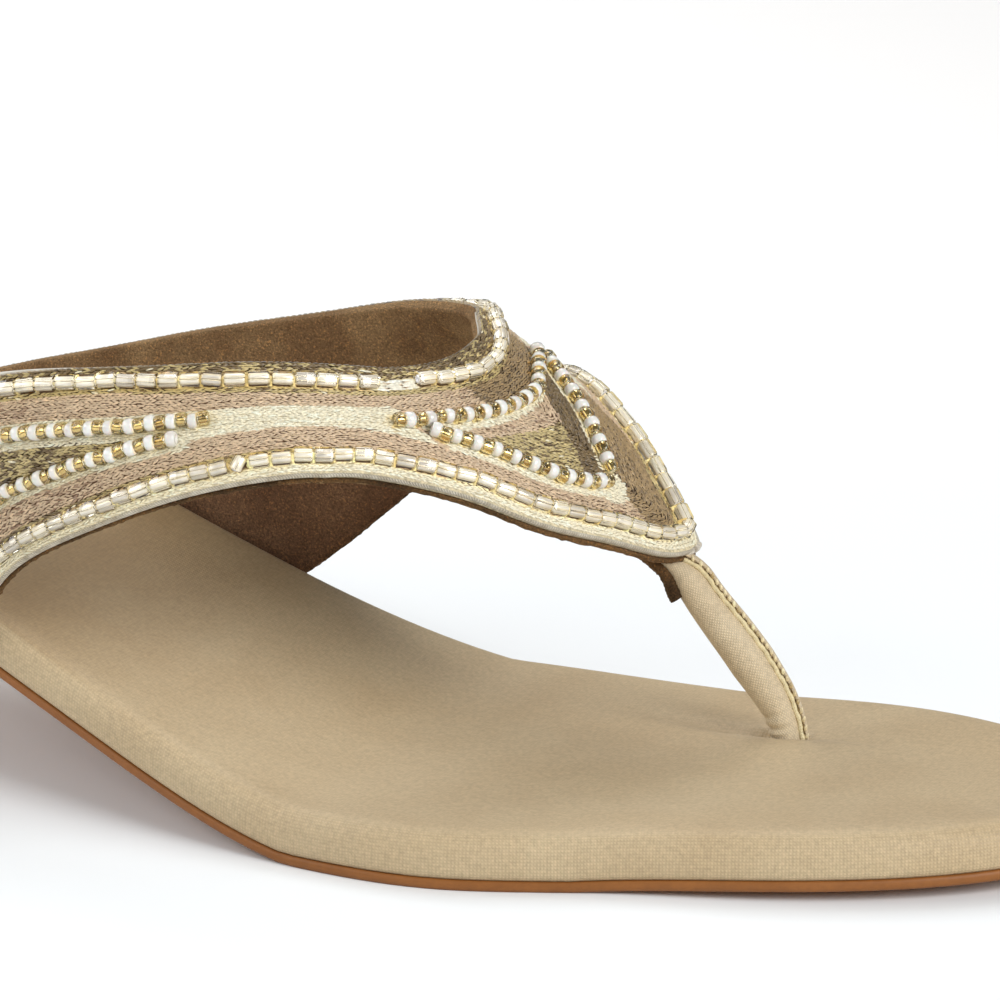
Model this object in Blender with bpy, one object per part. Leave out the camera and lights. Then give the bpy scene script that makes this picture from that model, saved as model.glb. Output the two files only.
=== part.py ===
"""Right-foot thong sandal on a kitten heel, empty and standing on its own sole.

Frame: metres, +X towards the toe, +Y towards the inner (medial) side, +Z up, with the floor
at Z = 0 and the origin on the floor under the middle of the shoe. The tables are in
millimetres. A station is the distance from the back of the heel, measured along X.
"""
import math

import bmesh
import bpy
import numpy as np

MM = 0.001

# Driving sizes, in millimetres.
LENGTH = 250.0              # heel to toe, European size 38
SOLE_THICKNESS = 1.3        # rubber sheet
FOOTBED_THICKNESS = 6.4     # board, foam and wrap, at the ridge
STRAP_THICKNESS = 2.2       # embroidered fabric, backing and lining
GAP = 0.3                   # between pieces that touch
ARCH_LIFT = 2.4             # raised inner edge of the footbed at the arch
ARCH_STATION = 105.0
ARCH_REACH = 32.0
DISH_DEPTH = 0.5            # hollow of the footbed inside its ridge

# Plan outline of the sole: station, outer (lateral) edge, inner (medial) edge.
HEEL_POINT = (0.0, 5.6)
TOE_POINT = (LENGTH, 10.4)
OUTLINE = (
    (6.0, -9.7, 21.0),
    (15.0, -16.7, 27.9),
    (35.0, -22.5, 33.4),
    (60.0, -24.7, 32.4),
    (90.0, -27.8, 29.0),
    (120.0, -33.7, 31.0),
    (150.0, -39.4, 37.4),
    (170.0, -38.9, 38.6),
    (190.0, -31.2, 39.6),
    (210.0, -25.0, 39.4),
    (230.0, -15.5, 34.3),
    (243.0, -4.5, 25.0),
)

# Side line of the sole: station, height of its underside above the floor. The ball of the
# foot lies flat on the floor, and the toe springs up a little.
SOLE_LINE = (
    (0.0, 46.8),
    (20.0, 44.5),
    (50.0, 36.3),
    (70.0, 28.6),
    (90.0, 19.8),
    (110.0, 11.6),
    (130.0, 4.3),
    (148.0, -0.2),
    (184.0, -0.2),
    (210.0, 1.4),
    (235.0, 2.0),
    (250.0, 2.6),
)

# Edge of the footbed from its underside up and over the padded ridge: inset, height.
FOOTBED_EDGE = (
    (0.6, 0.0),
    (0.1, 0.35),
    (0.0, 2.2),
    (0.25, 4.0),
    (1.1, 5.5),
    (2.4, 6.2),
    (4.5, FOOTBED_THICKNESS),
)
OUTSOLE_EDGE = (
    (0.5, 0.0),
    (0.1, 0.35),
    (0.1, 1.0),
    (0.4, SOLE_THICKNESS),
)

# Instep of the last, over the footbed: station, crest height, sideways place of the crest,
# exponents of the section on the outer and inner side, where smaller is squarer.
INSTEP = (
    (55.0, 90.0, 9.7, 0.77, 0.65),
    (90.0, 79.2, 11.0, 0.77, 0.65),
    (120.0, 69.0, 12.5, 0.77, 0.65),
    (145.0, 58.9, 14.2, 0.78, 0.58),
    (155.0, 52.2, 15.0, 0.79, 0.55),
    (165.0, 45.0, 15.9, 0.80, 0.53),
    (175.0, 34.5, 16.9, 0.80, 0.52),
    (184.0, 25.5, 17.8, 0.80, 0.52),
)
STRAP_STANDOFF = 2.6        # outer face of the strap beyond the edge of the sole

# Cut of the strap. The girth runs from -1 at the outer edge of the footbed, over the crest
# at 0, to 1 at the inner edge: girth, station of the rear edge, station of the front edge.
STRAP_CUT = (
    (-1.00, 54.5, 94.5),
    (-0.85, 67.5, 100.5),
    (-0.70, 83.5, 112.5),
    (-0.55, 101.5, 126.5),
    (-0.40, 120.5, 141.5),
    (-0.30, 132.2, 153.0),
    (-0.20, 143.0, 169.0),
    (-0.10, 150.6, 177.7),
    (-0.05, 151.6, 181.4),
    (0.00, 151.0, 182.8),
    (0.05, 149.4, 182.2),
    (0.10, 147.8, 178.8),
    (0.20, 145.0, 169.9),
    (0.30, 139.7, 161.7),
    (0.40, 131.4, 153.8),
    (0.55, 116.0, 142.8),
    (0.70, 98.7, 134.2),
    (0.85, 80.5, 124.3),
    (1.00, 59.5, 113.7),
)
TUCK_LENGTH = 8.0           # lasting margin under the footbed
TUCK_BEND = 3.0             # outer radius where the strap turns under
RECESS_HEIGHT = 3.0         # room for the margin, which lies on a slope
RECESS_SPARE = 0.5          # beyond the end of the margin
CUT_BEYOND = 1.0            # how far a cutter runs past the face it opens

# Toe post: station, sideways place, height above the floor, from under the peak to the slot.
POST_ROUTE = (
    (175.0, 16.6, 35.8),
    (180.0, 17.0, 31.2),
    (183.0, 17.4, 28.0),
    (187.8, 18.3, 22.0),
    (191.8, 19.2, 16.4),
    (194.3, 19.8, 11.6),
    (195.0, 20.0, 8.0),
    (195.1, 20.0, 2.4),
)
POST_RADIUS = 2.25
POST_FLATNESS = 0.55        # of the end that lies under the strap
SEAM_LENGTH = 1.7           # flat front seam of the post, standing proud of the tube
SEAM_HALF_WIDTH = 0.8
POST_OPENS = (181.0, 187.0)  # stations between which it leaves the strap and rounds out
SLOT_LENGTH = 7.6
SLOT_WIDTH = 5.8

# Heel.
BREAST_STATION = 50.0
HEEL_INSET = 1.2
HEEL_RINGS = 9
HEEL_SWEEP = 2.4            # exponent of the curve that draws the heel in
TIP_BACK = 13.0
TIP_LENGTH = 13.0
TIP_WIDTH = 12.0
TIP_ROUNDNESS = 0.62        # exponent of its plan: 1 is an ellipse, smaller is squarer
LIFT_THICKNESS = 5.0

COLOURS = {
    # node: base colour, roughness
    "outsole": ((0.24, 0.090, 0.026), 0.55),
    "footbed": ((0.52, 0.40, 0.24), 0.50),
    "upper": ((0.66, 0.53, 0.34), 0.60),
    "toe_post": ((0.58, 0.44, 0.27), 0.50),
    "heel": ((0.52, 0.40, 0.24), 0.50),
    "heel_tip": ((0.05, 0.03, 0.02), 0.60),
}


# ---------------------------------------------------------------------------- curves
def spline(knots, values, at, closed=False):
    """Cubic spline through values, natural at its ends or closed on itself."""
    knots = np.asarray(knots, float)
    values = np.asarray(values, float)
    count = len(knots)
    step = np.diff(knots)
    slope = np.diff(values) / step
    matrix = np.eye(count)
    right = np.zeros(count)
    for i in range(1, count - 1):
        matrix[i, i - 1:i + 2] = step[i - 1], 2 * (step[i - 1] + step[i]), step[i]
        right[i] = 6 * (slope[i] - slope[i - 1])
    if closed:
        matrix[0, [0, 1, -2]] = 2 * (step[0] + step[-1]), step[0], step[-1]
        right[0] = 6 * (slope[0] - slope[-1])
        matrix[-1, [0, -1]] = -1, 1
    bend = np.linalg.solve(matrix, right)
    at = np.asarray(at, float)
    i = np.clip(np.searchsorted(knots, at) - 1, 0, count - 2)
    h = step[i]
    a = (knots[i + 1] - at) / h
    b = (at - knots[i]) / h
    cubic = (a ** 3 - a) * bend[i] + (b ** 3 - b) * bend[i + 1]
    return a * values[i] + b * values[i + 1] + cubic * h * h / 6


def column(table, index):
    return [row[index] for row in table]


def closed_outline(samples=1600):
    """Dense closed outline, starting at the back of the heel, outer side first."""
    outer = [(row[0], row[1]) for row in OUTLINE]
    inner = [(row[0], row[2]) for row in reversed(OUTLINE)]
    points = np.array([HEEL_POINT] + outer + [TOE_POINT] + inner + [HEEL_POINT])
    chord = np.linalg.norm(np.diff(points, axis=0), axis=1)
    knots = np.concatenate([[0.0], np.cumsum(chord)])
    at = np.linspace(0, knots[-1], samples, endpoint=False)
    curve = np.stack([spline(knots, points[:, k], at, closed=True) for k in (0, 1)], axis=1)
    return np.roll(curve, -int(curve[:, 0].argmin()), axis=0)


DENSE = closed_outline()
TOE_INDEX = int(DENSE[:, 0].argmax())
OUTER_SIDE = DENSE[:TOE_INDEX + 1]
INNER_SIDE = np.concatenate([DENSE[:1], DENSE[:TOE_INDEX - 1:-1]])


def edge(station, side):
    """Sideways place of the sole's edge: side -1 is outer, 1 is inner."""
    curve = OUTER_SIDE if side < 0 else INNER_SIDE
    return np.interp(station, curve[:, 0], curve[:, 1])


def sole_height(station):
    """Underside of the outsole above the floor."""
    line = spline(column(SOLE_LINE, 0), column(SOLE_LINE, 1), station)
    return np.maximum(line, 0.0)


def footbed_base(station):
    return sole_height(station) + SOLE_THICKNESS + GAP


def footbed_top(station):
    return footbed_base(station) + FOOTBED_THICKNESS


def smooth_step(value):
    value = np.clip(value, 0.0, 1.0)
    return value * value * (3 - 2 * value)


def arch_lift(station, sideways):
    along = np.exp(-((station - ARCH_STATION) / ARCH_REACH) ** 2)
    middle = (edge(station, -1) + edge(station, 1)) / 2
    half_width = np.maximum(edge(station, 1) - middle, GAP)
    return ARCH_LIFT * along * smooth_step((sideways - middle) / half_width)


# ---------------------------------------------------------------------------- instep and strap
def instep(station, girth):
    """Outer face of the strap's last at a station (arrays of the same shape)."""
    turn = np.sign(girth) * (math.pi / 2) * (1 - (1 - np.abs(girth)) ** 1.6)
    stations = column(INSTEP, 0)
    height, crest, outer_power, inner_power = (
        spline(stations, column(INSTEP, k), station) for k in (1, 2, 3, 4)
    )
    outer = edge(station, -1) - STRAP_STANDOFF
    inner = edge(station, 1) + STRAP_STANDOFF
    reach = np.where(girth < 0, crest - outer, inner - crest)
    sideways = crest + reach * np.sin(turn)
    blend = smooth_step(turn / math.radians(60) + 0.5)
    power = outer_power + (inner_power - outer_power) * blend
    rise = height * np.maximum(np.cos(turn), 0.0) ** power
    return np.stack([station, sideways, footbed_top(station) + rise], axis=-1)


def strap_section(side):
    """Run of the strap below the instep on one side: how far it goes in and down."""
    drop = FOOTBED_THICKNESS - TUCK_BEND
    steps = [(0.0, drop * k / 2) for k in (1, 2)]
    for k in range(1, 5):
        turn = math.radians(90) * k / 4
        steps.append((TUCK_BEND * (1 - math.cos(turn)), drop + TUCK_BEND * math.sin(turn)))
    steps.append((TUCK_BEND + TUCK_LENGTH / 2, FOOTBED_THICKNESS))
    steps.append((TUCK_BEND + TUCK_LENGTH, FOOTBED_THICKNESS))
    return [(-side * inwards, -down) for inwards, down in steps]


def strap_grid(girth_steps, cross_steps):
    """Rows of points across the strap, from the outer tuck over the crest to the inner."""
    girths = np.linspace(-1, 1, girth_steps)
    share = np.linspace(0, 1, cross_steps)
    keys = column(STRAP_CUT, 0)
    rear = spline(keys, column(STRAP_CUT, 1), girths)
    front = spline(keys, column(STRAP_CUT, 2), girths)
    stations = rear[:, None] + (front - rear)[:, None] * share[None, :]
    rows = list(instep(stations, np.repeat(girths[:, None], cross_steps, axis=1)))
    for side, end in ((-1, rows[0]), (1, rows[-1])):
        tail = [end + np.array([0.0, inwards, down]) for inwards, down in strap_section(side)]
        rows = tail[::-1] + rows if side < 0 else rows + tail
    return rows


# ---------------------------------------------------------------------------- mesh helpers
def to_frame(point):
    """A point given by station, sideways place and height, in the part's frame."""
    return ((point[0] - LENGTH / 2) * MM, point[1] * MM, point[2] * MM)


def finish(name, bm, smooth_angle=35):
    """Turn a bmesh into the sub-part of that name, with its material."""
    bmesh.ops.recalc_face_normals(bm, faces=bm.faces)
    mesh = bpy.data.meshes.new(name)
    bm.to_mesh(mesh)
    bm.free()
    mesh.shade_smooth()
    mesh.set_sharp_from_angle(angle=math.radians(smooth_angle))
    part = bpy.data.objects.new(name, mesh)
    bpy.context.scene.collection.objects.link(part)
    if name in COLOURS:
        colour, roughness = COLOURS[name]
        material = bpy.data.materials.new(name)
        material.use_nodes = True
        shader = material.node_tree.nodes["Principled BSDF"]
        shader.inputs["Base Color"].default_value = (*colour, 1.0)
        shader.inputs["Roughness"].default_value = roughness
        mesh.materials.append(material)
    return part


def stack_rings(bm, rings):
    """Join rings of points with as many points each into a wall, one ring on the next."""
    loops = [[bm.verts.new(to_frame(point)) for point in ring] for ring in rings]
    for lower, upper in zip(loops, loops[1:]):
        for k in range(len(lower)):
            bm.faces.new((lower[k - 1], lower[k], upper[k], upper[k - 1]))
    return loops


def close_across(bm, ring, columns=1):
    """Close a ring that runs heel, outer side, toe, inner side, with strips across it.

    Returns the new vertices inside the ring.
    """
    half = len(ring) // 2
    rungs = []
    for outer, inner in zip(ring[1:half], ring[:half:-1]):
        between = [outer.co.lerp(inner.co, k / columns) for k in range(1, columns)]
        rungs.append([outer] + [bm.verts.new(place) for place in between] + [inner])
    for rung, following in zip(rungs, rungs[1:]):
        for k in range(columns):
            bm.faces.new((rung[k], following[k], following[k + 1], rung[k + 1]))
    for pole, rung in ((ring[0], rungs[0]), (ring[half], rungs[-1])):
        for k in range(columns):
            bm.faces.new((pole, rung[k], rung[k + 1]))
    return [vert for rung in rungs for vert in rung[1:-1]]


def outline_ring(inset, rows=44):
    """Closed ring of (station, sideways) points along the outline, moved inwards."""
    share = (1 - np.cos(np.linspace(0, math.pi, rows + 1))) / 2
    stations = DENSE[0, 0] + (DENSE[TOE_INDEX, 0] - DENSE[0, 0]) * share
    outer = [(x, edge(x, -1)) for x in stations[1:-1]]
    inner = [(x, edge(x, 1)) for x in stations[-2:0:-1]]
    ring = np.array([tuple(DENSE[0])] + outer + [tuple(DENSE[TOE_INDEX])] + inner)
    along = np.roll(ring, -1, axis=0) - np.roll(ring, 1, axis=0)
    along /= np.linalg.norm(along, axis=1)[:, None]
    outwards = np.stack([along[:, 1], -along[:, 0]], axis=1)
    return ring - outwards * inset


# ---------------------------------------------------------------------------- sub-parts
def outsole():
    """Thin rubber sheet under the whole shoe."""
    rings = []
    for inset, height in OUTSOLE_EDGE:
        plan = outline_ring(inset)
        rings.append([(x, y, sole_height(x) + height) for x, y in plan])
    bm = bmesh.new()
    loops = stack_rings(bm, rings)
    close_across(bm, loops[0])
    close_across(bm, loops[-1])
    return finish("outsole", bm)


def sweep_box(name, rows):
    """Closed body from rows of four corners each."""
    bm = bmesh.new()
    loops = stack_rings(bm, rows)
    for loop in (loops[0], loops[-1]):
        bm.faces.new(loop)
    cutter = finish(name, bm)
    cutter.hide_render = True
    cutter.display_type = "WIRE"
    return cutter


def tuck_cutter(side, first, last):
    """Room under the footbed's edge for the strap's lasting margin on one side."""
    rows = []
    for station in np.linspace(first, last, 9):
        reach = TUCK_BEND + TUCK_LENGTH - STRAP_STANDOFF + RECESS_SPARE
        outside = edge(station, side) + side * STRAP_STANDOFF
        inside = edge(station, side) - side * reach
        floor = footbed_base(station) - CUT_BEYOND
        roof = footbed_base(station) + RECESS_HEIGHT
        corners = ((outside, floor), (outside, roof), (inside, roof), (inside, floor))
        rows.append([(station, sideways, height) for sideways, height in corners])
    return sweep_box("tuck_cutter_outer" if side < 0 else "tuck_cutter_inner", rows)


def slot_cutter():
    """Oval slot for the toe post, right through the footbed."""
    station, sideways, _ = POST_ROUTE[-1]
    middle = station + SEAM_LENGTH / 2
    floor = footbed_base(station)
    rows = []
    for height in (floor - CUT_BEYOND, floor + FOOTBED_THICKNESS + 2 * CUT_BEYOND):
        ring = []
        for k in range(20):
            turn = 2 * math.pi * k / 20
            x = middle + SLOT_LENGTH / 2 * math.cos(turn)
            y = sideways + SLOT_WIDTH / 2 * math.sin(turn)
            ring.append((x, y, height))
        rows.append(ring)
    return sweep_box("slot_cutter", rows)


def footbed():
    """Padded board with its rolled ridge, the slot and the two lasting recesses."""
    rings = []
    for inset, height in FOOTBED_EDGE:
        ring = []
        for x, y in outline_ring(inset):
            share = height / FOOTBED_THICKNESS
            ring.append((x, y, footbed_base(x) + height + arch_lift(x, y) * share))
        rings.append(ring)
    bm = bmesh.new()
    loops = stack_rings(bm, rings)
    close_across(bm, loops[0])
    for vert in close_across(bm, loops[-1], columns=6):
        x = vert.co.x / MM + LENGTH / 2
        y = vert.co.y / MM
        middle = (edge(x, -1) + edge(x, 1)) / 2
        half_width = (edge(x, 1) - edge(x, -1)) / 2
        hollow = DISH_DEPTH * (1 - ((y - middle) / half_width) ** 2)
        vert.co.z = (footbed_top(x) + arch_lift(x, y) - hollow) * MM
    part = finish("footbed", bm)
    cuts = (
        tuck_cutter(-1, STRAP_CUT[0][1] - CUT_BEYOND, STRAP_CUT[0][2] + CUT_BEYOND),
        tuck_cutter(1, STRAP_CUT[-1][1] - CUT_BEYOND, STRAP_CUT[-1][2] + CUT_BEYOND),
        slot_cutter(),
    )
    for cutter in cuts:
        cut = part.modifiers.new(cutter.name, "BOOLEAN")
        cut.operation = "DIFFERENCE"
        cut.solver = "EXACT"
        cut.object = cutter
    return part


def upper():
    """One V-shaped strap, both of its arms lasted under the footbed."""
    rows = strap_grid(girth_steps=49, cross_steps=9)
    bm = bmesh.new()
    grid = [[bm.verts.new(to_frame(point)) for point in row] for row in rows]
    for row, following in zip(grid, grid[1:]):
        for k in range(len(row) - 1):
            bm.faces.new((row[k], row[k + 1], following[k + 1], following[k]))
    part = finish("upper", bm)
    wall = part.modifiers.new("wall", "SOLIDIFY")
    wall.thickness = STRAP_THICKNESS * MM
    wall.offset = -1.0
    wall.use_even_offset = True
    return part


def post_section(station):
    """Section of the toe post: a tube whose seam stands out in front, (forwards, sideways)."""
    first, last = POST_OPENS
    opening = smooth_step((station - first) / (last - first))
    depth = POST_RADIUS * (POST_FLATNESS + (1 - POST_FLATNESS) * opening)
    start = math.asin(SEAM_HALF_WIDTH / POST_RADIUS)
    turns = np.linspace(start, 2 * math.pi - start, 15)
    tube = [(depth * math.cos(turn), POST_RADIUS * math.sin(turn)) for turn in turns]
    tip = depth + SEAM_LENGTH * max(opening, 0.1)
    return tube + [(tip, -SEAM_HALF_WIDTH), (tip, SEAM_HALF_WIDTH)]


def toe_post():
    """Wrapped thong from under the strap's peak down through the slot."""
    route = np.array(POST_ROUTE)
    length = np.concatenate([[0.0], np.cumsum(np.linalg.norm(np.diff(route, axis=0), axis=1))])
    at = np.linspace(0, length[-1], 21)
    centre = np.stack([spline(length, route[:, k], at) for k in range(3)], axis=1)
    along = np.gradient(centre, axis=0)
    along /= np.linalg.norm(along, axis=1)[:, None]
    rings = []
    for point, direction in zip(centre, along):
        sideways = np.array([0.0, 1.0, 0.0])
        forwards = np.cross(direction, sideways)
        forwards *= math.copysign(1.0, forwards[0]) / np.linalg.norm(forwards)
        section = post_section(point[0])
        rings.append([point + forwards * f + sideways * s for f, s in section])
    bm = bmesh.new()
    loops = stack_rings(bm, rings)
    for loop in (loops[0], loops[-1]):
        bm.faces.new(loop)
    return finish("toe_post", bm)


def tip_ring(count):
    """D-shaped plan of the heel's lower end, with as many points as the seat's ring."""
    half = count // 2
    ring = []
    for k in range(count):
        turn = math.pi * (1 - abs(k - half) / half) if k else 0.0
        side = -1 if k <= half else 1
        lengthwise = (1 - math.cos(turn)) / 2
        sidewise = math.sin(turn) ** TIP_ROUNDNESS
        x = TIP_BACK + TIP_LENGTH * lengthwise
        ring.append((x, HEEL_POINT[1] + side * TIP_WIDTH / 2 * sidewise))
    return ring


def seat_ring(rows=12):
    """Plan of the heel's top: the outline as far as the breast, then straight across."""
    share = 1 - np.cos(np.linspace(0, math.pi / 2, rows + 1))
    stations = HEEL_INSET + (BREAST_STATION - HEEL_INSET) * share
    outer = [(x, edge(x, -1) + HEEL_INSET) for x in stations[1:]]
    inner = [(x, edge(x, 1) - HEEL_INSET) for x in stations[:0:-1]]
    middle = (outer[-1][1] + inner[0][1]) / 2
    return [(HEEL_INSET, HEEL_POINT[1])] + outer + [(BREAST_STATION, middle)] + inner


def heel():
    """Kitten heel: a seat under the sole, drawn in to a small lower end."""
    seat = seat_ring()
    tip = tip_ring(len(seat))
    rings = []
    for level in np.linspace(0, 1, HEEL_RINGS):
        draw_in = 1 - (1 - level) ** HEEL_SWEEP
        ring = []
        for (seat_x, seat_y), (tip_x, tip_y) in zip(seat, tip):
            x = seat_x + (tip_x - seat_x) * draw_in
            y = seat_y + (tip_y - seat_y) * draw_in
            top = sole_height(seat_x) - GAP
            ring.append((x, y, top + (LIFT_THICKNESS + GAP - top) * level))
        rings.append(ring)
    bm = bmesh.new()
    loops = stack_rings(bm, rings)
    close_across(bm, loops[0])
    close_across(bm, loops[-1])
    return finish("heel", bm)


def heel_tip():
    """Top lift: the small block the heel stands on."""
    plan = tip_ring(26)
    bm = bmesh.new()
    loops = stack_rings(bm, [[(x, y, z) for x, y in plan] for z in (0.0, LIFT_THICKNESS)])
    close_across(bm, loops[0])
    close_across(bm, loops[-1])
    return finish("heel_tip", bm)


def main():
    for old in list(bpy.data.objects):
        bpy.data.objects.remove(old, do_unlink=True)
    for build in (outsole, footbed, upper, toe_post, heel, heel_tip):
        build()


main()
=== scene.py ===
"""Looks of a right-foot thong sandal on a kitten heel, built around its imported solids.

Frame: metres, +X towards the toe, +Y towards the inner (medial) side, +Z up, floor at Z = 0.
The tables are in millimetres. A station is the distance from the back of the heel along X.
The girth runs round the instep, from -1 at the outer edge of the footbed, over the crest
at 0, to 1 at the inner edge, and a little further where the strap turns under the footbed.
The share runs across the strap, from 0 at its rear edge to 1 at its front edge.
"""
import math

import bmesh
import bpy
import numpy as np
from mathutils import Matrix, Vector
from mathutils.kdtree import KDTree


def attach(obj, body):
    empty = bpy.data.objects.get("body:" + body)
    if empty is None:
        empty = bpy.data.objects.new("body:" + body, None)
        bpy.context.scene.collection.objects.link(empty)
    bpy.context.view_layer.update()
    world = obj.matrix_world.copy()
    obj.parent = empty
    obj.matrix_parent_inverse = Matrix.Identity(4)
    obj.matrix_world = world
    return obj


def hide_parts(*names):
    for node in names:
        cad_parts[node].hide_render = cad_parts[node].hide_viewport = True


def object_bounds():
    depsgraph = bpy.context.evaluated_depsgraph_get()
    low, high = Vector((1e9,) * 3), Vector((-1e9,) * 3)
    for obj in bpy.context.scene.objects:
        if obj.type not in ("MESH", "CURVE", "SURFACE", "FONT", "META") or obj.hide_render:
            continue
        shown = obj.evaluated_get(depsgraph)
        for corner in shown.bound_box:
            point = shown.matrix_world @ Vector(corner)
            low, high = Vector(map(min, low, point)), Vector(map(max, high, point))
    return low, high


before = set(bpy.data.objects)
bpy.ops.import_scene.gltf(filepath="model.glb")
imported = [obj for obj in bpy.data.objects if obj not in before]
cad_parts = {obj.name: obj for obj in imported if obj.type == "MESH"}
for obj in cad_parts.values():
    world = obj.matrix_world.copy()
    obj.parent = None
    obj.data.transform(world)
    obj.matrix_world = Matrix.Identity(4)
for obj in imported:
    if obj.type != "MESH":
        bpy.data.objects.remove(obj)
CAD_LOW, CAD_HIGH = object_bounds()

MM = 0.001
FULL_TURN = 2 * math.pi
LENGTH = (CAD_HIGH.x - CAD_LOW.x) / MM
SOLE_THICKNESS = 1.3
FOOTBED_THICKNESS = 6.4
GAP = 0.3
ARCH_LIFT = 2.4
ARCH_STATION = 105.0
ARCH_REACH = 32.0
DISH_DEPTH = 0.5

# Plan outline of the sole: station, outer edge, inner edge.
HEEL_POINT = (0.0, 5.6)
TOE_POINT = (LENGTH, 10.4)
OUTLINE = (
    (6.0, -9.7, 21.0), (15.0, -16.7, 27.9), (35.0, -22.5, 33.4), (60.0, -24.7, 32.4),
    (90.0, -27.8, 29.0), (120.0, -33.7, 31.0), (150.0, -39.4, 37.4), (170.0, -38.9, 38.6),
    (190.0, -31.2, 39.6), (210.0, -25.0, 39.4), (230.0, -15.5, 34.3), (243.0, -4.5, 25.0),
)
# Side line: station, height of the sole's underside.
SOLE_LINE = (
    (0.0, 46.8), (20.0, 44.5), (50.0, 36.3), (70.0, 28.6), (90.0, 19.8), (110.0, 11.6),
    (130.0, 4.3), (148.0, -0.2), (184.0, -0.2), (210.0, 1.4), (235.0, 2.0), (250.0, 2.6),
)
# Edges from the underside up: inset, height.
FOOTBED_EDGE = (
    (0.6, 0.0), (0.1, 0.35), (0.0, 2.2), (0.25, 4.0), (1.1, 5.5), (2.4, 6.2),
    (4.5, FOOTBED_THICKNESS),
)
OUTSOLE_EDGE = (
    (0.5, 0.0), (0.1, 0.35), (0.1, 1.0), (0.4, SOLE_THICKNESS),
)
# Instep: station, crest height, sideways place, outer exponent, inner exponent.
INSTEP = (
    (55.0, 90.0, 9.7, 0.77, 0.65), (90.0, 79.2, 11.0, 0.77, 0.65), (120.0, 69.0, 12.5, 0.77, 0.65),
    (145.0, 58.9, 14.2, 0.78, 0.58), (155.0, 52.2, 15.0, 0.79, 0.55),
    (165.0, 45.0, 15.9, 0.80, 0.53), (175.0, 34.5, 16.9, 0.80, 0.52),
    (184.0, 25.5, 17.8, 0.80, 0.52),
)
STRAP_STANDOFF = 2.6
STRAP_THICKNESS = 2.2
# Cut of the strap: girth, station of the rear edge, station of the front edge.
STRAP_CUT = (
    (-1.00, 54.5, 94.5), (-0.85, 67.5, 100.5), (-0.70, 83.5, 112.5), (-0.55, 101.5, 126.5),
    (-0.40, 120.5, 141.5), (-0.30, 132.2, 153.0), (-0.20, 143.0, 169.0), (-0.10, 150.6, 177.7),
    (-0.05, 151.6, 181.4), (0.00, 151.0, 182.8), (0.05, 149.4, 182.2), (0.10, 147.8, 178.8),
    (0.20, 145.0, 169.9), (0.30, 139.7, 161.7), (0.40, 131.4, 153.8), (0.55, 116.0, 142.8),
    (0.70, 98.7, 134.2), (0.85, 80.5, 124.3), (1.00, 59.5, 113.7),
)
TUCK_BEND = 3.0
TUCK_SHOWN = 5.0            # lasting margin under the footbed
RECESS_HEIGHT = 3.0         # room for the margin
GIRTH_LENGTH = 100.0        # millimetres of tuck in one unit of girth

# Toe post: station, sideways place, height.
POST_ROUTE = (
    (175.0, 16.6, 35.8), (180.0, 17.0, 31.2), (183.0, 17.4, 28.0), (187.8, 18.3, 22.0),
    (191.8, 19.2, 16.4), (194.3, 19.8, 11.6), (195.0, 20.0, 8.0), (195.1, 20.0, 2.4),
)
POST_RADIUS = 2.25
POST_FLATNESS = 0.55
SEAM_LENGTH = 1.7

BREAST_STATION = 50.0       # front of the heel
HEEL_INSET = 1.2
HEEL_SWEEP = 2.4
TIP_BACK = 13.0
TIP_LENGTH = 13.0
TIP_WIDTH = 12.0
TIP_ROUNDNESS = 0.62
LIFT_THICKNESS = 5.0

random = np.random.default_rng(7)


# ---- curves
def spline(knots, values, at, closed=False):
    """Cubic spline through values, natural at its ends or closed on itself."""
    knots = np.asarray(knots, float)
    values = np.asarray(values, float)
    count = len(knots)
    step = np.diff(knots)
    slope = np.diff(values) / step
    matrix = np.eye(count)
    right = np.zeros(count)
    for i in range(1, count - 1):
        matrix[i, i - 1:i + 2] = step[i - 1], 2 * (step[i - 1] + step[i]), step[i]
        right[i] = 6 * (slope[i] - slope[i - 1])
    if closed:
        matrix[0, [0, 1, -2]] = 2 * (step[0] + step[-1]), step[0], step[-1]
        right[0] = 6 * (slope[0] - slope[-1])
        matrix[-1, [0, -1]] = -1, 1
    bend = np.linalg.solve(matrix, right)
    at = np.asarray(at, float)
    i = np.clip(np.searchsorted(knots, at) - 1, 0, count - 2)
    h = step[i]
    a = (knots[i + 1] - at) / h
    b = (at - knots[i]) / h
    cubic = (a ** 3 - a) * bend[i] + (b ** 3 - b) * bend[i + 1]
    return a * values[i] + b * values[i + 1] + cubic * h * h / 6


def smooth_line(table, at, index=1):
    """A column of a table at places along its first one, on a smooth curve."""
    rows = np.array(table)
    return spline(rows[:, 0], rows[:, index], at)


def straight_line(table, at):
    """The second column of a table at places along its first one, straight between rows."""
    return np.interp(at, *np.array(table).T)


def unit(vectors):
    return vectors / np.linalg.norm(vectors, axis=-1, keepdims=True)


def run_along(points):
    """Length along a row of points, up to each of them."""
    steps = np.linalg.norm(np.diff(points, axis=0), axis=1)
    return np.concatenate([[0.0], np.cumsum(steps)])


def far_from(points, line):
    """Distance of each point from the nearest point of a line."""
    return np.linalg.norm(points[:, None] - line[None], axis=2).min(axis=1)


def smooth_step(value):
    value = np.clip(value, 0.0, 1.0)
    return value * value * (3 - 2 * value)


def hump(value, middle, reach):
    """1 at the middle, falling away smoothly to both sides."""
    return np.exp(-((value - middle) / reach) ** 2)


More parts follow.
